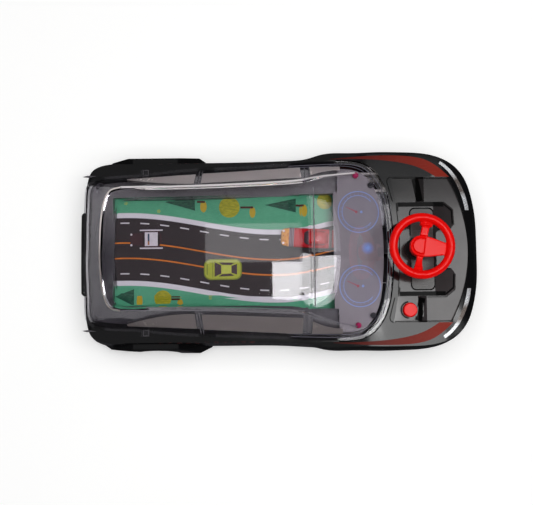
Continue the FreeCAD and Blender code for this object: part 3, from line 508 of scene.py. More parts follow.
def ring_band(x, y, r, width, start=0.0, end=360.0, count=72):
    """Flat ring, or part of one, as short quads."""
    inner, outer = r - width / 2, r + width / 2
    turns = [start + (end - start) * i / count for i in range(count + 1)]
    return [[around(x, y, inner, a), around(x, y, outer, a), around(x, y, outer, b), around(x, y, inner, b)]
            for a, b in zip(turns, turns[1:])]


def smooth_path(points, steps=10):
    """Catmull-Rom line through 3-D points."""
    pts = [Vector(p) for p in points]
    pts = [pts[0] * 2 - pts[1]] + pts + [pts[-1] * 2 - pts[-2]]
    out = []
    for a, b, c, d in zip(pts, pts[1:], pts[2:], pts[3:]):
        for i in range(steps):
            t = i / steps
            out.append(0.5 * ((2 * b) + (c - a) * t + (2 * a - 5 * b + 4 * c - d) * t * t
                              + (3 * b - a - 3 * c + d) * t ** 3))
    out.append(pts[-2])
    return out


def rod(path, radius, sides=8, closed=False):
    """Round bar along a line of points, with closed ends."""
    verts, faces = [], []
    n = len(path)
    for i, p in enumerate(path):
        before, after = path[max(i - 1, 0)], path[min(i + 1, n - 1)]
        if closed:
            before, after = path[i - 1], path[(i + 1) % n]
        along = (after - before).normalized()
        side = along.cross(Vector((0, 0, 1)))
        side = side.normalized() if side.length > 0.01 else Vector((1, 0, 0))
        up = side.cross(along)
        for k in range(sides):
            a = 2 * math.pi * k / sides
            verts.append(tuple(p + (side * math.cos(a) + up * math.sin(a)) * radius))
    last = n if closed else n - 1
    for i in range(last):
        for k in range(sides):
            a, b = i * sides + k, i * sides + (k + 1) % sides
            c, d = ((i + 1) % n) * sides + (k + 1) % sides, ((i + 1) % n) * sides + k
            faces.append([a, b, c, d])
    if not closed:
        faces.append([k for k in reversed(range(sides))])
        faces.append([(n - 1) * sides + k for k in range(sides)])
    return verts, faces


def joined(parts):
    """Several (verts, faces) as one."""
    verts, faces = [], []
    for v, f in parts:
        start = len(verts)
        verts += v
        faces += [[start + i for i in face] for face in f]
    return verts, faces


class Skin:
    """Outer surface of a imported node, for laying detail on it."""

    def __init__(self, node):
        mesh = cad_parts[node].data
        self.tree = BVHTree.FromPolygons([v.co for v in mesh.vertices], [p.vertices for p in mesh.polygons])

    def top(self, x, y, lift=0.0):
        """Point on the surface straight below, raised by lift, or None past its edge."""
        hit = self.tree.ray_cast(Vector((x * MM, y * MM, 0.3)), Vector((0, 0, -1)))
        return Vector((x, y, hit[0].z / MM + lift)) if hit[0] else None


# ------- print on the road band
def film_height(x):
    """Top of the road band: flat from the rear flap on, curling down over the front roller."""
    over = max(x - FRONT_ROLLER_X, 0.0)
    return ROLLER_Z + math.sqrt(max(FILM_R ** 2 - over ** 2, 1.0))


def printed(name, outlines, material, level=1):
    """Ink lying on the band; a higher level lies on the one below."""
    verts, faces = slabs(outlines, lambda x, y: film_height(x) + 0.05 + 0.04 * level, 0.02)
    return piece_from(name, verts, faces, material, "housing")


def cut_into(outline, x0, x1, step=2.0):
    """A wide outline between two lines of x, as strips that can follow the rollers."""
    count = math.ceil((x1 - x0) / step)
    return [outline(x0 + step * i, min(x0 + step * (i + 1), x1)) for i in range(count)]


def conifer(tip, base_x, low, high):
    """Triangle as strips from its tip to its foot."""
    def strip(a, b):
        shares = [(x - tip[0]) / (base_x - tip[0]) for x in (a, b)]
        ys = [tip[1] + (edge - tip[1]) * share for edge in (low, high) for share in shares]
        ys = [max(-FILM_HALF, min(FILM_HALF, y)) for y in ys]
        return [(a, ys[0] - 0.02), (b, ys[1]), (b, ys[3]), (a, ys[2] + 0.02)]
    return cut_into(strip, tip[0], base_x)


def round_strip(a, b, x, y, r):
    """Upright slice of a disc between two lines of x."""
    ha, hb = [math.sqrt(max(r * r - (e - x) ** 2, 0.01)) for e in (a, b)]
    limit = FILM_HALF - 0.3
    return [(a, y - ha), (b, y - hb), (b, min(y + hb, limit)), (a, min(y + ha, limit))]


def scenery():
    """Trees with trunks and yellow glows, a bush and small flowers on the printed grass."""
    firs = conifer((-85.9, 39.3), -63.2, 32.6, 48.5)
    firs += conifer((-10.1, 36.3), 13.7, 30.3, 41.0)
    firs += conifer((-124.0, -32.0), -109.6, -39.4, -26.6)
    printed("print_firs", firs, tree_ink("ink_fir", "2f6249", "1e4536"))
    rounds = [disc(-37.0, 34.8, 7.9), disc(-87.9, -34.2, 6.4)]
    printed("print_round_trees", rounds, tree_ink("ink_leaf", "b2ae28", "8a901f"))
    bush = cut_into(lambda a, b: round_strip(a, b, 35.4, 38.6, 6.0), 29.6, 41.0, 0.8)
    printed("print_bush", bush, tree_ink("ink_bush", "b0ac3c", "8f9a3a"))
    trunks = [block(-61.6, -55.5, 38.5, 40.1), block(-28.6, -18.8, 33.8, 35.4), block(13.7, 19.8, 34.8, 36.4),
              block(-110.0, -104.6, -33.3, -31.9), block(-81.5, -74.9, -35.3, -33.9)]
    printed("print_trunks", trunks, ink("ink_trunk", "4a1f16"), 2)
    glows = [disc(-56.7, 35.6, 2.5, 4.4), disc(-19.4, 30.8, 2.3, 4.2), disc(20.0, 31.6, 2.3, 4.6),
             disc(-105.4, -36.2, 2.3, 4.0), disc(-74.8, -38.0, 2.2, 3.6)]
    printed("print_glow", glows, ink("ink_shadow", "b8a02c"))
    petals = []
    for x, y in ((-115.7, 38.9), (-90.7, 32.5), (-51.9, -33.8)):
        petals += [disc(*around(x, y, 0.9, 72 * i), 0.55, count=12) for i in range(5)]
    printed("print_flowers", petals, ink("ink_flower", "9cb35a"))


def rounded_car(x0, x1, y, half, r, steps=6):
    """Car outline seen from above with round corners."""
    front, rear, left, right = x1 - r, x0 + r, y + half - r, y - half + r
    out = []
    for turn, corner in enumerate([(front, left), (rear, left), (rear, right), (front, right)]):
        out += [around(*corner, r, 90 * (turn + i / steps)) for i in range(steps + 1)]
    return out


def green_car():
    """Printed lime car in the right-hand lane."""
    y = -12.5
    printed("print_green_car", [rounded_car(-56.7, -27.9, y, 7.9, 5.2)], ink("ink_lime_dark", "7c8726"), 1)
    printed("print_green_body", [rounded_car(-55.9, -28.8, y, 7.0, 4.6)], ink("ink_lime", "a9b33a"), 2)
    glass = [[(-48.6, y - 5.6), (-43.6, y - 3.2), (-43.6, y + 3.2), (-48.6, y + 5.6)],
             [(-35.8, y - 2.6), (-31.6, y - 4.0), (-31.6, y + 4.0), (-35.8, y + 2.6)],
             [(-43.0, y + 3.6), (-36.2, y + 3.2), (-33.6, y + 5.0), (-45.6, y + 5.4)],
             [(-43.0, y - 3.6), (-36.2, y - 3.2), (-33.6, y - 5.0), (-45.6, y - 5.4)]]
    printed("print_green_glass", glass, ink("ink_glass", "4a3a3f"), 3)
    printed("print_green_roof", [block(-43.4, -36.0, y - 3.1, y + 3.1)], ink("ink_lime_light", "bcc552"), 3)
    marks = [block(-54.6, -53.6, y - 4.0, y + 4.0), block(-50.3, -49.7, y - 6.0, y + 6.0)]
    printed("print_green_marks", marks, ink("ink_lime_line", "848f34"), 3)


def race_car():
    """Printed dark racing car with white wings in the left-hand lane."""
    y = 11.2
    dark = [block(-112.4, -102.0, y - 4.6, y + 4.6), block(-103.0, -90.0, y - 6.6, y + 6.6),
            block(-92.0, -88.6, y - 4.0, y + 4.0)]
    printed("print_racer_dark", dark, ink("ink_maroon", "3d2529"), 1)
    white = [block(-101.4, -91.6, y - 5.2, y + 5.2), block(-105.2, -87.8, y + 6.3, y + 7.3),
             block(-105.2, -87.8, y - 7.4, y - 6.4), disc(-111.6, y + 3.6, 0.8, count=12),
             disc(-111.6, y - 4.4, 0.8, count=12)]
    printed("print_racer_white", white, ink("ink_white", "d3cfd2"), 2)
    printed("print_racer_stripe", [block(-99.2, -97.9, y - 1.6, y + 4.2)], ink("ink_blue", "2c3d55"), 3)
    printed("print_racer_line", [block(-99.2, -97.9, y - 4.4, y - 1.6)], ink("ink_tan", "a06a44"), 3)


# ------- instrument panel
def panel_height(x):
    """Upper face of the tilted instrument panel, between its ends given as (x, z)."""
    (x0, z0), (x1, z1) = PANEL_REAR, PANEL_FRONT
    return z0 + (z1 - z0) * (x - x0) / (x1 - x0)


def on_panel(name, outlines, material, level=1):
    """Print on the instrument panel; a higher level lies on the one below."""
    verts, faces = slabs(outlines, lambda x, y: panel_height(x) + 0.03 * level, 0.03)
    return piece_from(name, verts, faces, material, "housing", "dark_panel")


def tick(x, y, degrees, long, outer=13.9, half=0.14):
    """Thin mark on a dial that points at its middle."""
    along = Vector(around(0.0, 0.0, 1.0, degrees))
    across = Vector((-along.y, along.x)) * half
    near, far = [Vector((x, y)) + along * r for r in (outer - long, outer)]
    return [tuple(p) for p in (near + across, near - across, far - across, far + across)]


def gauges():
    """Two dials with double rings, ticks without numbers and red needles."""
    blue = plastic("dial_blue", "7690c4", 0.35, drift=0.1, drift_mm=4.0, grain=0.04).material
    grey = plastic("dial_face", "78757b", 0.34, grain=0.08).material
    red = plastic("dial_red", "9a3a44", 0.35, grain=0.04).material
    dials, rings, ticks, needles = [], [], [], []
    for x, y in GAUGES:
        dials.append(disc(x, y, 15.4, count=64))
        rings += ring_band(x, y, 15.4, 0.7)
        rings += ring_band(x, y, 12.4, 0.5, 40, 320)
        rings.append(disc(x + 2.2, y, 1.0, count=20))
        ticks += [tick(x, y, 50 + 13 * i, 1.8 if i % 5 == 0 else 1.0) for i in range(21)]
        needles.append(disc(x - 1.6, y, 1.0, count=18))
        needles.append([(x - 1.4, y - 0.5), (x - 1.4, y + 0.5), (x - 9.6, y + 4.0), (x - 9.6, y + 3.6)])
    on_panel("dial_faces", dials, grey, 1)
    on_panel("dial_rings", rings, blue, 2)
    on_panel("dial_ticks", ticks, blue, 2)
    on_panel("dial_needles", needles, red, 3)


def lamp_glow():
    """Painted glow: a faint blue halo round the middle lamp, painted into the panel's colour."""
    s = Shader("lamp_halo")
    x, y, z = s.axes()
    dx, dy = s.maths("SUBTRACT", x, LED_SPOT[0]), s.maths("SUBTRACT", y, LED_SPOT[1])
    far = s.maths("SQRT", s.maths("ADD", s.maths("MULTIPLY", dx, dx), s.maths("MULTIPLY", dy, dy)))
    # Painted glow: blue close to the lamp, fading into the panel's grey further out.
    s.set(Base_Color=s.mix(s.span(far, 1.5, 5.2, 0.0, 1.0), tone("5f86c8"), tone(PANEL_CODE)))
    s.set(Roughness=s.span(s.noise(1.0), 0.3, 0.7, 0.28, 0.36))
    s.bump(s.noise(0.35), 0.1, 0.05)
    ring = ring_band(LED_SPOT[0], LED_SPOT[1], 3.4, 3.6)
    on_panel("lamp_halo", ring, s.material, 1)


def rear_flap():
    """Flat end of the printed road over the rear roller."""
    flap = block(-124.2, REAR_ROLLER_X + 0.5, -FILM_HALF, FILM_HALF)
    verts, faces = slabs([flap], lambda x, y: film_height(x) + 0.02, 0.04)
    piece_from("film_rear_flap", verts, faces, SLOT_MATERIALS["film_print"], "housing", "film_print")


def panel_lip():
    """Rear lip of the instrument panel, over the end of the road band."""
    verts, faces = slabs([block(40.8, 44.2, -43.6, 43.6)], lambda x, y: 49.2, 0.5)
    piece_from("panel_lip", verts, faces, NODE_MATERIALS["instrument_panel"], "housing", "dark_panel")


# ------- bonnet console
def laid(skin, outline, lift=0.05, thick=0.12):
    """Closed thin plate whose corners follow a surface."""
    low = [skin.top(x, y, lift) for x, y in outline]
    if None in low:
        return [], []
    high = [(p.x, p.y, p.z + thick) for p in low]
    n = len(low)
    faces = [list(reversed(range(n))), [n + i for i in range(n)]]
    faces += [[i, (i + 1) % n, n + (i + 1) % n, n + i] for i in range(n)]
    return [tuple(p) for p in low] + high, faces


def strip_along(skin, line, width, lift=0.05):
    """Thin band that follows a plan line over a surface; a wide one is laid as narrow ones."""
    pieces = []
    points = [Vector(p) for p in line]
    if width > 1.3:
        lanes = math.ceil(width / 1.1)
        lane = width / lanes
        out = (points[1] - points[0]).normalized()
        for k in range(lanes):
            shift = Vector((-out.y, out.x)) * lane * (k - (lanes - 1) / 2)
            pieces += strip_along(skin, [p + shift for p in points], lane + 0.06, lift)
        return pieces
    for a, b in zip(points, points[1:]):
        along = (b - a).normalized()
        across = Vector((-along.y, along.x)) * width / 2
        count = max(1, round((b - a).length / 1.5))
        for k in range(count):
            p, q = a.lerp(b, k / count), a.lerp(b, (k + 1) / count)
            pieces.append(laid(skin, [p - across, q - across, q + across, p + across], lift))
    return pieces


def console_painted_shade():
    """Painted shade: black strips laid along the bonnet's grooves and steep cheeks, parting its grey fields.
    """
    console = Skin("console_insert")
    corner = [around(101.4, 27.0, 3.4, 180 - 15 * k) for k in range(7)]
    opposite = [(2 * 106.7 - x, y) for x, y in reversed(corner)]
    # Each entry is a strip of painted shade: surface, width and plan line.
    shade_lines = [
        (console, 3.2, [(88.9, 33.3), (123.6, 33.3)]),
        (console, 0.8, [(89.2, 33.0), (89.2, 16.0)]),
        (console, 1.2, [(123.8, 33.6), (129.9, 28.9), (130.4, 18.8)]),
        (console, 0.9, [(119.0, 14.6), (127.6, 15.0)]),
        (console, 0.7, [(85.4, 53.6), (131.0, 53.6)]),
        (Skin("upper_shell"), 0.7, [(85.6, 36.0), (81.6, 50.6), (82.0, 52.8), (84.0, 54.4), (87.0, 54.6)]),
        (console, 5.4, [(106.3, 36.2), (103.0, 53.2)]),
        (console, 0.5, [(110.5, 35.7), (125.0, 35.7), (131.6, 30.4), (132.3, 18.6)]),
        (console, 0.9, [(98.0, 10.0)] + corner + opposite + [(115.4, 10.0)]),
    ]
    parts = []
    for skin, width, line in shade_lines:
        for side in (1, -1):
            parts += strip_along(skin, mirrored(line, side), width)
    piece_from("console_painted_shade", *joined(parts), shadow_black(), "housing", "black_matte")
    ring = [laid(console, quad, 0.03) for quad in ring_band(96.3, -45.2, 6.1, 1.1, 60, 300, 40)]
    piece_from("button_shadow_ring", *joined(ring), shadow_black(), "housing", "black_matte")


# ------- clear cabin
def drape(skin, points, lift):
    """The points of a plan line laid on a surface."""
    found = [skin.top(x, y, lift) for x, y in points]
    return [p for p in found if p is not None]


def plan_line(points, count=8):
    """Smooth line through plan points."""
    return [(p.x, p.y) for p in smooth_path([(x, y, 0.0) for x, y in points], count)]


def canopy_piece(name, shape, material, smooth=True):
    """Clear piece that belongs to the canopy."""
    piece_from(name, *shape, material, "housing", "clear_plastic", smooth)


def canopy_ribs():
    """Raised ribs along the roof's edges and the pillars, tinted as painted highlights: bright on the left,
    dim elsewhere.
    """
    skin = Skin("clear_canopy")
    bright, dim = [], []
    # Painted highlight: the left side's ribs get the bright tint, the right side's the dim one.
    for group, side, roof_r, pillar_r in ((bright, 1, 0.85, 0.7), (dim, -1, 0.5, 0.4)):
        edge = mirrored(ROOF_EDGE, side)
        group.append(rod(drape(skin, plan_line([p for p in edge if p[0] > -116.0]), -0.1), roof_r, 8))
        inner = [(x, y * 0.955) for x, y in edge if x > -112.0]
        group.append(rod(drape(skin, plan_line(inner), -0.15), 0.4, 8))
        pillar = mirrored([(17.0, 47.8), (30.0, 51.4), (45.0, 54.6), (57.0, 57.0)], side)
        group.append(rod(drape(skin, plan_line(pillar), -0.1), pillar_r, 8))
        for x in (-59.5, -57.5, 18.5, 21.5):
            line = mirrored([(x, 46.5), (x + 0.8, 54.0), (x + 1.2, 61.0)], side)
            dim.append(rod(drape(skin, plan_line(line, 6), -0.1), 0.35, 8))
    front = [(24.6, 0.25 * y) for y in range(-170, 171, 20)]
    dim.append(rod(drape(skin, front, -0.2), 0.5, 8))
    rear = [(x, y) for x, y in ROOF_EDGE if x < -112.0]
    rear = mirrored(reversed(rear), -1) + rear[1:]
    soft = rod(drape(skin, plan_line(rear), -0.2), 0.6, 8)
    # The rear rib is painted pale as the highlight along the roof's rear rim.
    canopy_piece("canopy_rear_rib", soft, frosted("rear_rib_painted_highlight"))
    canopy_piece("canopy_ribs", joined(bright), rib_plastic())
    canopy_piece("canopy_dim_ribs", joined(dim), rib_plastic("clear_rib_dim", "a8a4ac", 0.6))


def rib_plastic(name="clear_rib", code="f6f0f2", clear=0.25):
    """Clear rib whose tint is a painted highlight: a pale tint paints a bright line, a grey one a dim line.
    """
    s = Shader(name)
    s.set(Base_Color=tone(code), Transmission_Weight=clear, IOR=1.3)
    s.set(Roughness=s.span(s.noise(1.5), 0.3, 0.7, 0.05, 0.12))
    s.bump(s.noise(6.0), 0.06, 0.1)
    return s.material


def frosted(name="window_frost"):
    """Clear inset with a fine frost that shows it as a pale pane; painted light makes it paler and less clear
    on the left side (+y), dimmer and clearer on the right.
    """
    s = Shader(name)
    x, y, z = s.axes()
    # Painted light: the left side's panes are paler and less clear than the right side's.
    left = s.span(y, -5.0, 5.0, 0.0, 1.0)
    pale = s.mix(s.noise(18.0), tone("e6dcd8"), tone("f6eeea"))
    dim = s.mix(s.noise(18.0), tone("a9a19e"), tone("bdb4b0"))
    s.set(Base_Color=s.mix(left, dim, pale), Transmission_Weight=s.span(left, 0.0, 1.0, 0.45, 0.18), IOR=1.2)
    s.set(Roughness=s.span(s.noise(3.0), 0.3, 0.7, 0.35, 0.5), Specular_IOR_Level=0.2)
    s.bump(s.noise(0.6), 0.05, 0.03)
    return s.material


def wall_point(x, share, side):
    """Point between the roof's edge and the foot, seen from above."""
    roof = 44.0 + 3.8 * max(0.0, min(1.0, (x + 66.0) / 83.0))
    foot = 57.2 + 7.6 * max(0.0, min(1.0, (x + 113.0) / 122.0))
    return (x, side * (roof + (foot - roof) * share))


def side_windows():
    """Pale panes let into the cabin's sides between its pillars."""
    skin = Skin("clear_canopy")
    # Ends in x, then where the pane's upper edge starts and ends and where its lower edge runs
    panes = [(-112.0, -61.0, 0.70, 0.16, 0.80), (-56.0, 16.5, 0.16, 0.16, 0.82),
             (23.5, 46.0, 0.30, 0.62, 0.84)]
    parts = []
    for side in (1, -1):
        for x0, x1, start, end, low in panes:
            count = max(2, round((x1 - x0) / 3.0))
            for k in range(count):
                t0, t1 = k / count, (k + 1) / count
                xs = [x0 + (x1 - x0) * t for t in (t0, t1)]
                high = [start + (end - start) * (1 - (1 - t) ** 2) for t in (t0, t1)]
                corners = [wall_point(xs[0], high[0], side), wall_point(xs[1], high[1], side),
                           wall_point(xs[1], low, side), wall_point(xs[0], low, side)]
                parts.append(laid(skin, corners, -0.3, 0.2))
    canopy_piece("side_windows", joined(parts), frosted(), smooth=False)


def canopy_fixings():
    """Clip tabs on the long sides, corner screws with their rings and the pointed rear corners."""
    skin = Skin("clear_canopy")
    parts, tips = [], []
    for side in (1, -1):
        for dx in (-1.9, 1.9):
            line = [(-99.0 + dx, y * side) for y in (57.4, 59.5, 61.4, 62.3)]
            parts.append(rod(drape(skin, line, 0.1), 0.4, 8))
        for y in (58.0, 61.9):
            line = [(-99.0 + dx, y * side) for dx in (-2.0, -0.7, 0.7, 2.0)]
            parts.append(rod(drape(skin, line, 0.15), 0.4, 8))
        tip = [(-146.8, 57.6), (-143.0, 58.7), (-136.0, 58.2), (-142.0, 57.0)]
        tips.append(mirrored(tip, side))
    for x, y in CANOPY_SCREWS:
        ring = [Vector((*around(x, y, 2.3, 15 * k), 51.6)) for k in range(24)]
        parts.append(rod(ring, 0.5, 8, closed=True))
    fixing = rib_plastic("clear_fixing", "6a676c", 0.5)
    canopy_piece("canopy_fixings", joined(parts), fixing)
    verts, faces = slabs([disc(x, y, 1.5, count=20) for x, y in CANOPY_SCREWS], lambda x, y: 51.2, 0.3)
    piece_from("canopy_screw_heads", verts, faces, SLOT_MATERIALS["screw_black"], "housing", "screw_black")
    canopy_piece("canopy_ear_tips", slabs(tips, lambda x, y: 46.7, 0.8), fixing, smooth=False)


def canopy_front_lines():
    """Concentric steps round the windscreen's foot."""
    skin = Skin("clear_canopy")
    parts = []
    ring = CANOPY_FOOT + mirrored(reversed(CANOPY_FOOT[:-1]), -1)
    for inset, radius in ((1.0, 0.3), (3.0, 0.22)):
        line = plan_line([(x - inset * 0.9, y * (1 - inset / 62.0)) for x, y in ring], 6)
        parts.append(rod(drape(skin, line, 0.0), radius, 6))
    edge = rib_plastic("clear_edge", "8d8a98", 0.5)
    canopy_piece("canopy_front_lines", joined(parts), edge)


# ------- steering wheel
def soft_solid(name, parts, voxel, smooth_steps, material, body, slot):
    """Overlapping closed shapes melted into one skin with soft blends."""
    verts, faces = joined(parts)
    made = piece_from(name, verts, faces, material, body, slot)
    remesh = made.modifiers.new("melt", "REMESH")
    remesh.mode = "VOXEL"
    remesh.voxel_size = voxel * MM
    relax = made.modifiers.new("relax", "SMOOTH")
    relax.factor = 0.5
    relax.iterations = smooth_steps
    depsgraph = bpy.context.evaluated_depsgraph_get()
    melted = bpy.data.meshes.new_from_object(made.evaluated_get(depsgraph))
    made.modifiers.clear()
    made.data = melted
    for polygon in melted.polygons:
        polygon.use_smooth = True
    return made


def wedge(a, b):
    """Closed block between two four-cornered ends."""
    verts = list(a) + list(b)
    faces = [[3, 2, 1, 0], [4, 5, 6, 7]] + [[i, (i + 1) % 4, 4 + (i + 1) % 4, 4 + i] for i in range(4)]
    return verts, faces


def turn_about(parts, angle, x=STEER_X, y=0.0):
    """Parts turned about an upright line."""
    c, s = math.cos(math.radians(angle)), math.sin(math.radians(angle))
    return [([(x + (vx - x) * c - (vy - y) * s, y + (vx - x) * s + (vy - y) * c, vz) for vx, vy, vz in verts],
             faces) for verts, faces in parts]


def spoke_part(angle, stations):
    """Spoke through stations (radius, width, underside, top)."""
    def end(r, width, low, high):
        x, half = STEER_X + r, width / 2
        return [(x, -half, low), (x, half, low), (x, half, high), (x, -half, high)]
    parts = [wedge(end(*a), end(*b)) for a, b in zip(stations, stations[1:])]
    return turn_about(parts, angle)


def steering_wheel():
    """Rim, three spokes, a shield with a raised boss and the hub under it, as one soft skin."""
    rim = [Vector((*around(STEER_X, 0.0, RIM_R, 3.75 * i), RIM_Z)) for i in range(96)]
    parts = [rod(rim, RIM_TUBE_R, 20, closed=True)]
    parts += spoke_part(86, [(2.0, 5.4, 69.3, 74.4), (14.0, 5.4, 71.8, 76.0), (15.0, 9.0, 72.2, 76.6),
                             (20.4, 9.0, 74.0, 78.0)])
    parts += spoke_part(-93, [(2.0, 5.0, 69.3, 74.4), (11.0, 4.2, 71.8, 75.6), (20.4, 7.0, 74.0, 78.0)])
    parts += spoke_part(0, [(0.0, 15.0, 69.5, 76.6), (6.0, 14.0, 70.0, 76.4), (17.0, 8.8, 73.0, 76.4),
                            (20.6, 8.6, 74.0, 78.2)])
    turns = [math.radians(15 * k - 90) for k in range(13)]
    shield = [(-1.0 - 7.4 * math.cos(a), 7.5 * math.sin(a)) for a in turns] + [(3.0, 7.5), (3.0, -7.5)]
    parts.append(slabs([[(STEER_X + x, y) for x, y in shield]], lambda x, y: 70.0, 6.2))
    boss = [(STEER_X + 0.72 * x - 0.6, 0.72 * y) for x, y in shield]
    parts.append(slabs([boss], lambda x, y: 74.0, 3.4))
    hub = [around(STEER_X, 0.0, 7.2, 9 * i) for i in range(40)]
    parts.append(slabs([hub], lambda x, y: 62.0, 10.0))
    wheel = soft_solid("wheel_skin", turn_about(parts, WHEEL_ANGLE), 0.42, 5,
                       SLOT_MATERIALS["red_plastic"], "steering", "red_plastic")
    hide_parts("steering_wheel", "hub_cap")
    grip_ribs()


def grip_ribs():
    """Small pads of short ridges where the side spokes meet the rim."""
    parts = []
    for sign in (1, -1):
        for i in range(4):
            y = (15.2 + 1.3 * i) * sign
            half = 3.2 if sign > 0 else 2.4
            z = 76.7 + 0.32 * i
            parts.append(rod([Vector((STEER_X - half, y, z)), Vector((STEER_X + half, y, z))], 0.35, 8))
    piece_from("wheel_grip_ribs", *joined(turn_about(parts, WHEEL_ANGLE)), SLOT_MATERIALS["red_plastic"],
               "steering", "red_plastic", smooth=True)


# ------- the player's small car
def loft(sections, count=20, square=0.55):
    """Rounded body through sections (x, half width, underside, top), closed at both ends."""
    verts, faces = [], []
    for x, half, low, top in sections:
        middle, tall = (low + top) / 2, (top - low) / 2
        for k in range(count):
            turn = around(0.0, 0.0, 1.0, 360 * k / count)
            across, up = [math.copysign(abs(t) ** square, t) for t in turn]
            verts.append((x, half * across, middle + tall * up))
    for i in range(len(sections) - 1):
        for k in range(count):
            a, b = i * count + k, i * count + (k + 1) % count
            faces.append([a, b, b + count, a + count])
    faces.append(list(reversed(range(count))))
    faces.append([len(verts) - count + k for k in range(count)])
    return verts, faces


def placed_car(parts):
    """Parts made about the origin, turned and put where the lever holds the car."""
    moved = [([(x + CAR_CENTRE[0], y + CAR_CENTRE[1], z) for x, y, z in v], f) for v, f in parts]
    return turn_about(moved, CAR_YAW, *CAR_CENTRE)


def car_paint_zones():
    """Red body with an orange spotted nose and a dark grille and tail."""
    s = Shader("car_zones")
    x, y, z = s.axes()
    c, n = math.cos(math.radians(CAR_YAW)), math.sin(math.radians(CAR_YAW))
    along = s.maths("ADD", s.maths("MULTIPLY", s.maths("SUBTRACT", x, CAR_CENTRE[0]), c),
                    s.maths("MULTIPLY", s.maths("SUBTRACT", y, CAR_CENTRE[1]), n))
    spots = s.node("ShaderNodeTexVoronoi")
    s.put(s.place, spots.inputs["Vector"])
    spots.inputs["Scale"].default_value = 620.0
    spot = s.span(spots.outputs["Distance"], 0.25, 0.4, 1.0, 0.0)
    nose = s.mix(spot, tone("e8a23a"), tone("b5481c"))
    red = s.mix(s.noise(2.4), tone("a8141c"), tone("cf3038"))
    bar = s.below(s.maths("FRACT", s.maths("MULTIPLY", along, 0.9)), 0.5, 0.05)
    grille = s.mix(bar, tone("5e4a50"), tone("96848a"))
    colour = s.mix(s.below(along, -10.6), red, grille)
    colour = s.mix(s.below(along, -14.4), colour, nose)
    colour = s.mix(s.inside(along, 17.4, 2.0), colour, tone("6a5c58"))
    s.set(Base_Color=colour, Roughness=s.span(s.noise(2.0), 0.3, 0.7, 0.14, 0.24))
    s.bump(s.noise(0.4), 0.03, 0.03)
    return s.material


def car_piece(name, parts, material, slot, smooth=True):
    """Piece of the small car, which rides on the steering lever."""
    return piece_from(name, *joined(placed_car(parts)), material, "steering", slot, smooth)


def player_car():
    """Hull, windscreen and side glass, roof with rear wing, lamps and wheels."""
    hull = loft([(-20.4, 4.4, 37.9, 39.6), (-18.8, 6.3, 37.5, 40.5), (-14.0, 7.2, 37.4, 41.5),
                 (-8.0, 7.4, 37.4, 42.1), (0.0, 7.3, 37.4, 42.5), (9.0, 7.4, 37.4, 42.6),
                 (15.0, 7.3, 37.4, 42.5), (19.0, 6.6, 37.6, 41.8), (20.4, 5.4, 38.4, 40.8)])
    made = car_piece("player_car_body", [hull], car_paint_zones(), "car_red")
    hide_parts("player_car", "player_car_cabin")
    screen = loft([(-3.4, 3.4, 41.6, 42.2), (-1.2, 5.2, 41.8, 44.6), (1.6, 5.5, 41.8, 45.7)], square=0.7)
    sides = loft([(1.4, 5.6, 42.6, 44.4), (12.0, 5.2, 42.6, 44.0)], square=0.3)
    glass = plastic("car_glass", "57474c", 0.1, drift=0.1, grain=0.01).material
    car_piece("player_car_glass", [screen, sides], glass, "car_dark")
    lid = loft([(1.0, 4.6, 42.0, 45.6), (1.8, 5.3, 42.0, 46.0), (8.0, 5.1, 42.0, 46.0),
                (12.0, 4.6, 41.9, 44.6), (14.8, 3.8, 41.6, 42.9)], square=0.6)
    wing = loft([(17.6, 6.6, 43.0, 43.7), (18.4, 6.8, 43.0, 44.0), (19.8, 6.8, 43.2, 44.1),
                 (20.3, 6.5, 43.4, 43.9)], square=0.4)
    stays = [slabs([block(18.2, 19.4, y - 0.4, y + 0.4)], lambda a, b: 41.2, 2.2) for y in (-4.0, 4.0)]
    car_piece("player_car_roof", [lid, wing] + stays, SLOT_MATERIALS["car_red"], "car_red")
    lamps = [slabs([disc(-18.6, y, 1.0, 0.8, 16) for y in (-4.6, 4.6)], lambda a, b: 40.3, 0.5)]
    lamps += [slabs([disc(19.4, y, 0.9, count=16)], lambda a, b: 41.2, 0.5) for y in (-5.0, 5.0)]
    pale = plastic("car_lamp", "f0dfd8", 0.2, grain=0.02).material
    car_piece("player_car_lamps", lamps, pale, "white_plastic", smooth=False)
    wheels = [rod([Vector((x, y - 0.9, 38.9)), Vector((x, y + 0.9, 38.9))], 2.0, 20)
              for x in (-13.0, 12.4) for y in (-6.3, 6.3)]
    car_piece("player_car_wheels", wheels, SLOT_MATERIALS["tyre_black"], "car_dark", smooth=False)


# ------- trims on the body
def skirt_marks():
    """Short red dashes along the shoulders behind the wings."""
    skin = Skin("upper_shell")
    red = plastic("skirt_red", "8a1610", 0.3, grain=0.04).material
    parts = []
    for side in (1, -1):
        for x in [-90.0 + 6.8 * k for k in range(11)]:
            parts.append(laid(skin, mirrored(block(x, x + 3.6, 67.0, 67.9), side), 0.02))
    piece_from("skirt_marks", *joined(parts), red, "housing", "trim_red")


# ------- stage
def light(name, place, size, bright, glossy=True):
    """Rectangular lamp that faces down; its power is its brightness times pi times its area."""
    lamp = bpy.data.lights.new(name, "AREA")
    lamp.shape = "RECTANGLE"
    lamp.size, lamp.size_y = size
    lamp.energy = bright * math.pi * size[0] * size[1]
    made = bpy.data.objects.new(name, lamp)
    bpy.context.scene.collection.objects.link(made)
    made.location = place
    made.visible_glossy = glossy
    made.visible_transmission = glossy
    made.visible_camera = False
    return made


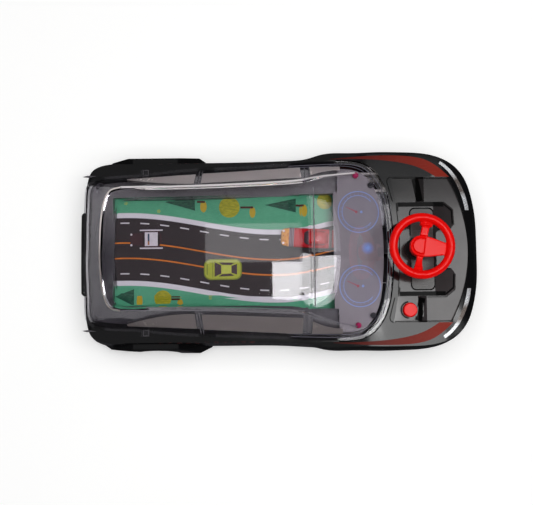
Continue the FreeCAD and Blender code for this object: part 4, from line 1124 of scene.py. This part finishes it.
def studio():
    """Lamps for the soft light and for the reflections on the canopy, then the room and the floor."""
    scene = bpy.context.scene
    scene.view_settings.view_transform = "Standard"
    light("overhead_left", (-0.55, 0.25, 1.5), (1.2, 1.0), 0.16)
    light("overhead_right", (0.47, 0.0, 1.5), (0.62, 0.46), 3.1)
    light("overhead_edge", (0.47, 0.29, 1.5), (0.62, 0.12), 0.5)
    light("overhead_low", (0.26, -0.03, 1.48), (0.08, 0.08), 5.0)
    light("window", (0.058, 0.038, 1.49), (0.093, 0.109), 9.5)
    light("window_edge", (0.90, 0.04, 1.49), (0.2, 0.16), 7.0)
    light("ceiling", (-0.016, 0.136, 1.49), (0.241, 0.086), 1.3)
    light("fill", (0.0, 0.0, 1.6), (1.6, 1.6), 2.6, glossy=False)
    # Two low strips ahead of the windscreen, which light nothing but the canopy
    canopy_only = bpy.data.collections.new("canopy_only")
    canopy_only.objects.link(bpy.data.objects["clear_canopy"])
    for name, y, wide, bright in (("front_left", 0.035, 0.058, 1.8), ("front_right", -0.031, 0.066, 7.0)):
        front = light(name, (0.15, y, 0.127), (0.021, wide), bright)
        front.rotation_euler = (0.0, math.pi / 2, 0.0)
        front.light_linking.receiver_collection = canopy_only
    world = bpy.data.worlds.new("room")
    world.use_nodes = True
    scene.world = world
    tree = world.node_tree
    seen = tree.nodes.new("ShaderNodeBackground")
    seen.inputs["Color"].default_value = (0.9, 0.9, 0.9, 1.0)
    room = tree.nodes["Background"]
    room.inputs["Color"].default_value = (0.03, 0.03, 0.033, 1.0)
    mixed = tree.nodes.new("ShaderNodeMixShader")
    path = tree.nodes.new("ShaderNodeLightPath")
    tree.links.new(path.outputs["Is Camera Ray"], mixed.inputs[0])
    tree.links.new(room.outputs[0], mixed.inputs[1])
    tree.links.new(seen.outputs[0], mixed.inputs[2])
    tree.links.new(mixed.outputs[0], tree.nodes["World Output"].inputs[0])
    floor()


def floor():
    mesh = bpy.data.meshes.new("floor")
    half = 4.0
    mesh.from_pydata([(x, y, 0) for x, y in block(-half, half, -half, half)], [], [[0, 1, 2, 3]])
    mesh.materials.append(floor_white())
    made = bpy.data.objects.new("floor", mesh)
    bpy.context.scene.collection.objects.link(made)
    made.visible_glossy = False


def camera():
    """Almost straight down, a little from the right-hand side."""
    eye = Vector((-13.26, -59.38, 742.15)) * MM
    target = Vector((-9.14, -0.77, 45.0)) * MM
    roll = math.radians(0.736)
    look = (target - eye).normalized()
    side = look.cross(Vector((math.sin(roll), math.cos(roll), 0.0))).normalized()
    up = side.cross(look)
    lens = bpy.data.cameras.new("camera")
    lens.lens, lens.sensor_width = 63.0, 36.0
    made = bpy.data.objects.new("camera", lens)
    bpy.context.scene.collection.objects.link(made)
    made.matrix_world = Matrix.Translation(eye) @ Matrix((side, up, -look)).transposed().to_4x4()
    lens.clip_start, lens.clip_end = 0.01, 20.0
    bpy.context.scene.camera = made


# ------- the whole object
dress_frame()
scenery()
green_car()
race_car()
gauges()
lamp_glow()
rear_flap()
panel_lip()
console_painted_shade()
canopy_ribs()
canopy_front_lines()
canopy_fixings()
side_windows()
steering_wheel()
player_car()
skirt_marks()
studio()
camera()
